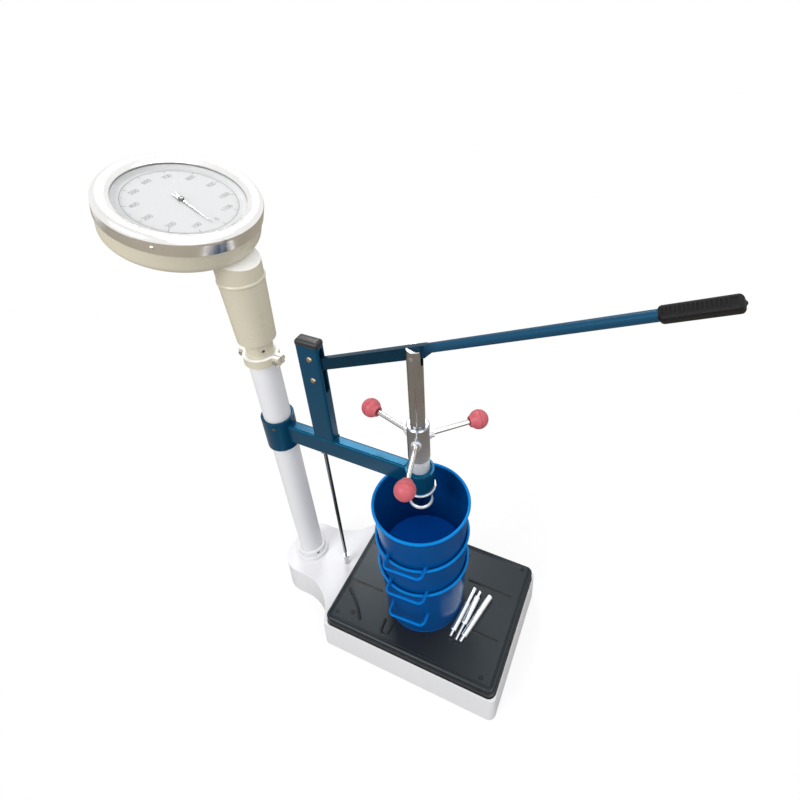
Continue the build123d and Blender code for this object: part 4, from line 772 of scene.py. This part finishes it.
# Bezel and glass: a deep spun ring of bright plated brass over the glass, held to the housing by
# three small domed screws in its band.
bezel_chrome = machined("spun_chrome", (0.86, 0.855, 0.84), 0.15, stretch=(1, 1, 1),
                        streak=0.04, fine=8.0)
dress(bezel_chrome, "bezel")
glass = finish("dial_glass", (0.95, 0.97, 0.97), 0.02, shade=0.02, smear=0.02, specular=0.1)
give(glass.node_tree.nodes["Principled BSDF"],
     {"IOR": 1.02, "Transmission Weight": 1.0, "Alpha": 0.02})
dress(glass, "dial_glass")
bezel_screw_count, first_bezel_screw, band_radius, band_depth = 3, 66, 0.1099, 0.0145
dome_outline = ((0, 0.0018), (0.0012, 0.0016), (0.0021, 0.0011),
                (0.0027, 0.0003), (0.0028, -0.0004), (0, -0.0004))
domes = []
for screw in range(bezel_screw_count):
    screw_angle = first_bezel_screw + 360 * screw / bezel_screw_count
    screw_seat = on_dial(screw_angle, band_radius, band_depth)
    screw_way = screw_seat - on_dial(0, 0, band_depth)
    domes.append(turned("bezel_screw", dome_outline, screw_seat, screw_way, steps=28))
settle(joined("bezel_screws", domes), "head", "chrome", bezel_chrome)

# Sample moulds: three tapered cans of rolled sheet, nested, sprayed bright blue, with a wired rim,
# a lapped side seam, and two round wire handles whose flattened feet are welded to the wall.
mould_axis = Vector((0.004, -0.009, 0))
mould_bases = (("lower", 0.099), ("middle", 0.178), ("upper", 0.257))
floor_radius, mouth_radius, mould_sheet, mould_height = 0.075, 0.080, 0.0012, 0.152
handle_rise, handle_half, handle_turn = 0.07605, 0.034, Matrix.Rotation(radians(3), 3, "Z")
seam_bearing, seam_low, seam_high = radians(128), 0.006, 0.146
seam_half, seam_sink, seam_lap, seam_round = 0.004, 0.0012, 0.0006, 0.0005
handle_foot_outline = ((0, 0.0026), (0.0029, 0.0022), (0.0036, 0.0012),
                       (0.0046, 0.0003), (0.0048, -0.0010), (0, -0.0010))
paint_sheen = (0.02, 0.5, 1)
handle_blue = finish("handle_blue", (0.001, 0.14, 0.50), 0.22, shade=0.15, patch=40.0, smear=0.1,
                     specular=0.5, sheen_of=paint_sheen)
rim_top_light, rim_half = (0.003, 0.205, 0.61), 0.0034
floor_top_light, floor_half = (0.002, 0.125, 0.60), 0.003


def mould_paint(title, rim, floor):
    """Bright blue spray paint, with painted top light on the wired rim and floor and painted edge
    highlights.
    """
    made = finish(title, (0.0003, 0.064, 0.240), 0.25, shade=0.15, patch=20.0, smear=0.1,
                  relief=0.00003, specular=0.22, sheen_of=paint_sheen,
                  edge_colour=(0.002, 0.15, 0.46), edge_width=0.0014)
    tree = made.node_tree
    height = coordinate(tree, "Object", "Z")
    laid_over(tree, number(tree, "COMPARE", height, rim, rim_half), rim_top_light)
    laid_over(tree, number(tree, "COMPARE", height, floor, floor_half), floor_top_light)
    return made


def mould_wall(height):
    """Radius of a mould's outer wall at a height over its base."""
    return floor_radius + mould_sheet + (mouth_radius - floor_radius) * height / mould_height


for mould, mould_base in mould_bases:
    mould_blue = mould_paint("mould_blue_" + mould, mould_base + mould_height, mould_base)
    dress(mould_blue, "mould_" + mould)
    dress(handle_blue, "mould_" + mould + "_handles")
    mould_foot = mould_axis + Vector((0, 0, mould_base))
    fittings = []
    for side in (-1, 1):
        for half in (-handle_half, handle_half):
            reach = sqrt(mould_wall(handle_rise) ** 2 - half ** 2)
            foot_seat = mould_foot + handle_turn @ Vector((half, side * reach, handle_rise))
            foot_way = handle_turn @ Vector((0, side, 0))
            fittings.append(
                turned("handle_foot", handle_foot_outline, foot_seat, foot_way, steps=28))
    seam = block("mould_seam", (-seam_half, -seam_sink, 0), (seam_half, seam_lap, 1))
    rounded(seam, lambda middle, way: middle.y > 0 and abs(way.z) > near_square, seam_round,
            segments=3)
    bpy.ops.object.mode_set(mode="OBJECT")
    outward = Vector((cos(seam_bearing), sin(seam_bearing), 0))
    seam_rise = Vector((0, 0, seam_high - seam_low))
    seam_rise += outward * (mould_wall(seam_high) - mould_wall(seam_low))
    seam_foot = mould_foot + outward * mould_wall(seam_low) + Vector((0, 0, seam_low))
    stand(seam, seam_foot, outward.cross(Vector((0, 0, 1))), outward, seam_rise)
    fittings.append(seam)
    settle(joined("mould_fittings_" + mould, fittings), "mould_" + mould, "mould_blue", mould_blue)

# Needles: three turned steel needles with stubs for the chuck, bright from the lathe, which lie
# loose on the mat beside the moulds.
needle_steel = machined("needle_steel", (0.80, 0.82, 0.84), 0.42, grinding_marks, streak=0.05)
dress(needle_steel, "needle_100", "needle_50", "needle_20")

# Studio: pale paper under the tester that runs out to plain white, and broad soft lamps. Two dark
# cards lie on the paper, out of the camera's sight, so that bright metal has something to mirror.
paper_size, paper_height, paper_dull, paper_sheen = 40, -0.0004, 0.9, 0.1
paper_tone_lit, paper_tone_seen = 0.5, 0.43
paper_fade_start, paper_fade_end, paper_least_glow = 0.25, 0.75, 0.75
white = (1, 1, 1, 1)


def seen_rays(tree):
    """One for rays from the camera, off metal or through glass, and nought for those that light."""
    path = tree.nodes.new("ShaderNodeLightPath")
    straight_or_mirrored = number(
        tree, "MAXIMUM", path.outputs["Is Camera Ray"], path.outputs["Is Glossy Ray"])
    return number(tree, "MAXIMUM", straight_or_mirrored, path.outputs["Is Transmission Ray"])


paper = bpy.data.materials.new("studio_paper")
paper.use_nodes = True
paper_tree = paper.node_tree
paper_skin = paper_tree.nodes["Principled BSDF"]
give(paper_skin, {"Roughness": paper_dull, "Specular IOR Level": paper_sheen})
paper_glow = paper_tree.nodes.new("ShaderNodeEmission")
paper_glow.inputs["Color"].default_value = white
paper_far = paper_tree.nodes.new("ShaderNodeMapRange")
paper_far.interpolation_type = "SMOOTHSTEP"
give(paper_far, {"From Min": paper_fade_start, "From Max": paper_fade_end,
                 "To Min": paper_least_glow})
paper_distance = paper_tree.nodes.new("ShaderNodeVectorMath")
paper_distance.operation = "LENGTH"
paper_tree.links.new(object_point(paper_tree), paper_distance.inputs[0])
paper_tree.links.new(paper_distance.outputs["Value"], paper_far.inputs["Value"])
paper_seen = seen_rays(paper_tree)
paper_tone = number(paper_tree, "MULTIPLY_ADD", paper_seen, paper_tone_seen, paper_tone_lit)
paper_tree.links.new(paper_tone, paper_skin.inputs["Base Color"])
paper_mix = paper_tree.nodes.new("ShaderNodeMixShader")
paper_share = number(paper_tree, "MULTIPLY", paper_far.outputs["Result"], paper_seen)
paper_tree.links.new(paper_share, paper_mix.inputs["Fac"])
paper_tree.links.new(paper_skin.outputs[0], paper_mix.inputs[1])
paper_tree.links.new(paper_glow.outputs[0], paper_mix.inputs[2])
paper_output = paper_tree.nodes["Material Output"]
paper_tree.links.new(paper_mix.outputs[0], paper_output.inputs["Surface"])
bpy.ops.object.select_all(action="DESELECT")
bpy.ops.mesh.primitive_plane_add(size=paper_size, location=(0, 0, paper_height))
floor = bpy.context.object
floor.name = "studio_floor"
coat(floor, paper)

card_height, card_dull = 0.0005, 0.9
for card_name, card_inner, card_outer, card_tone in (
    ("near_card", 0.0, 0.385, (0.10, 0.095, 0.09)),
    ("far_card", 0.445, 3.2, (0.31, 0.275, 0.22)),
):
    card = turned(card_name, ((card_inner, 0), (card_outer, 0)), (0, 0, card_height), steps=64)
    card_paint = bpy.data.materials.new(card_name + "_paint")
    card_paint.use_nodes = True
    give(card_paint.node_tree.nodes["Principled BSDF"],
         {"Base Color": (*card_tone, 1), "Roughness": card_dull})
    coat(card, card_paint)
    card.visible_camera = False
    card.visible_diffuse = False
    card.visible_shadow = False

lamp_aim = Vector((-0.05, 0, 0.45))
for lamp_name, lamp_place, lamp_size, lamp_power in (
    ("key_lamp", (-1.5, -3.4, 3.4), 2.4, 118.0),
    ("back_lamp", (-1.7, 2.4, 3.7), 1.2, 55.0),
    ("top_lamp", (0.9, 0.5, 4.2), 2.2, 36.0),
    ("fill_lamp", (2.4, -1.6, 2.4), 2.0, 30.0),
):
    bpy.ops.object.light_add(type="AREA", location=lamp_place)
    lamp = bpy.context.object
    lamp.name = lamp_name
    lamp.data.size = lamp_size
    lamp.data.energy = lamp_power
    lamp.rotation_euler = (lamp_aim - lamp.location).to_track_quat("-Z", "Y").to_euler()

sky_strength = 0.52
surround = bpy.data.worlds.new("studio_surround")
bpy.context.scene.world = surround
surround.use_nodes = True
sky = surround.node_tree
sky_light = sky.nodes["Background"]
give(sky_light, {"Color": white, "Strength": sky_strength})
sky_backdrop = sky.nodes.new("ShaderNodeBackground")
sky_backdrop.inputs["Color"].default_value = white
sky_mix = sky.nodes.new("ShaderNodeMixShader")
sky.links.new(seen_rays(sky), sky_mix.inputs["Fac"])
sky.links.new(sky_light.outputs[0], sky_mix.inputs[1])
sky.links.new(sky_backdrop.outputs[0], sky_mix.inputs[2])
sky.links.new(sky_mix.outputs[0], sky.nodes["World Output"].inputs["Surface"])

# Camera: above the front right corner, looking down on the tester at the photograph's angle.
camera_place = (0.2644, -0.5188, 1.1896)
camera_bearing, camera_dip, camera_roll = radians(24.283), radians(37.664), radians(-1.051)
camera_sensor, camera_lens, camera_shift, camera_far = 36, 24.633, (-0.0431, -0.0726), 60
ahead = Vector((-sin(camera_bearing) * cos(camera_dip), cos(camera_bearing) * cos(camera_dip),
                -sin(camera_dip)))
level = ahead.cross(Vector((0, 0, 1))).normalized()
upright = level.cross(ahead)
camera_across = level * cos(camera_roll) + upright * sin(camera_roll)
camera_up = upright * cos(camera_roll) - level * sin(camera_roll)
camera_axes = Matrix((camera_across, camera_up, -ahead)).transposed().to_4x4()
bpy.ops.object.camera_add()
camera = bpy.context.object
camera.matrix_world = Matrix.Translation(camera_place) @ camera_axes
camera.data.sensor_width = camera_sensor
camera.data.lens = camera_lens
camera.data.shift_x, camera.data.shift_y = camera_shift
camera.data.clip_end = camera_far
bpy.context.scene.camera = camera
bpy.context.scene.view_settings.view_transform = "Standard"
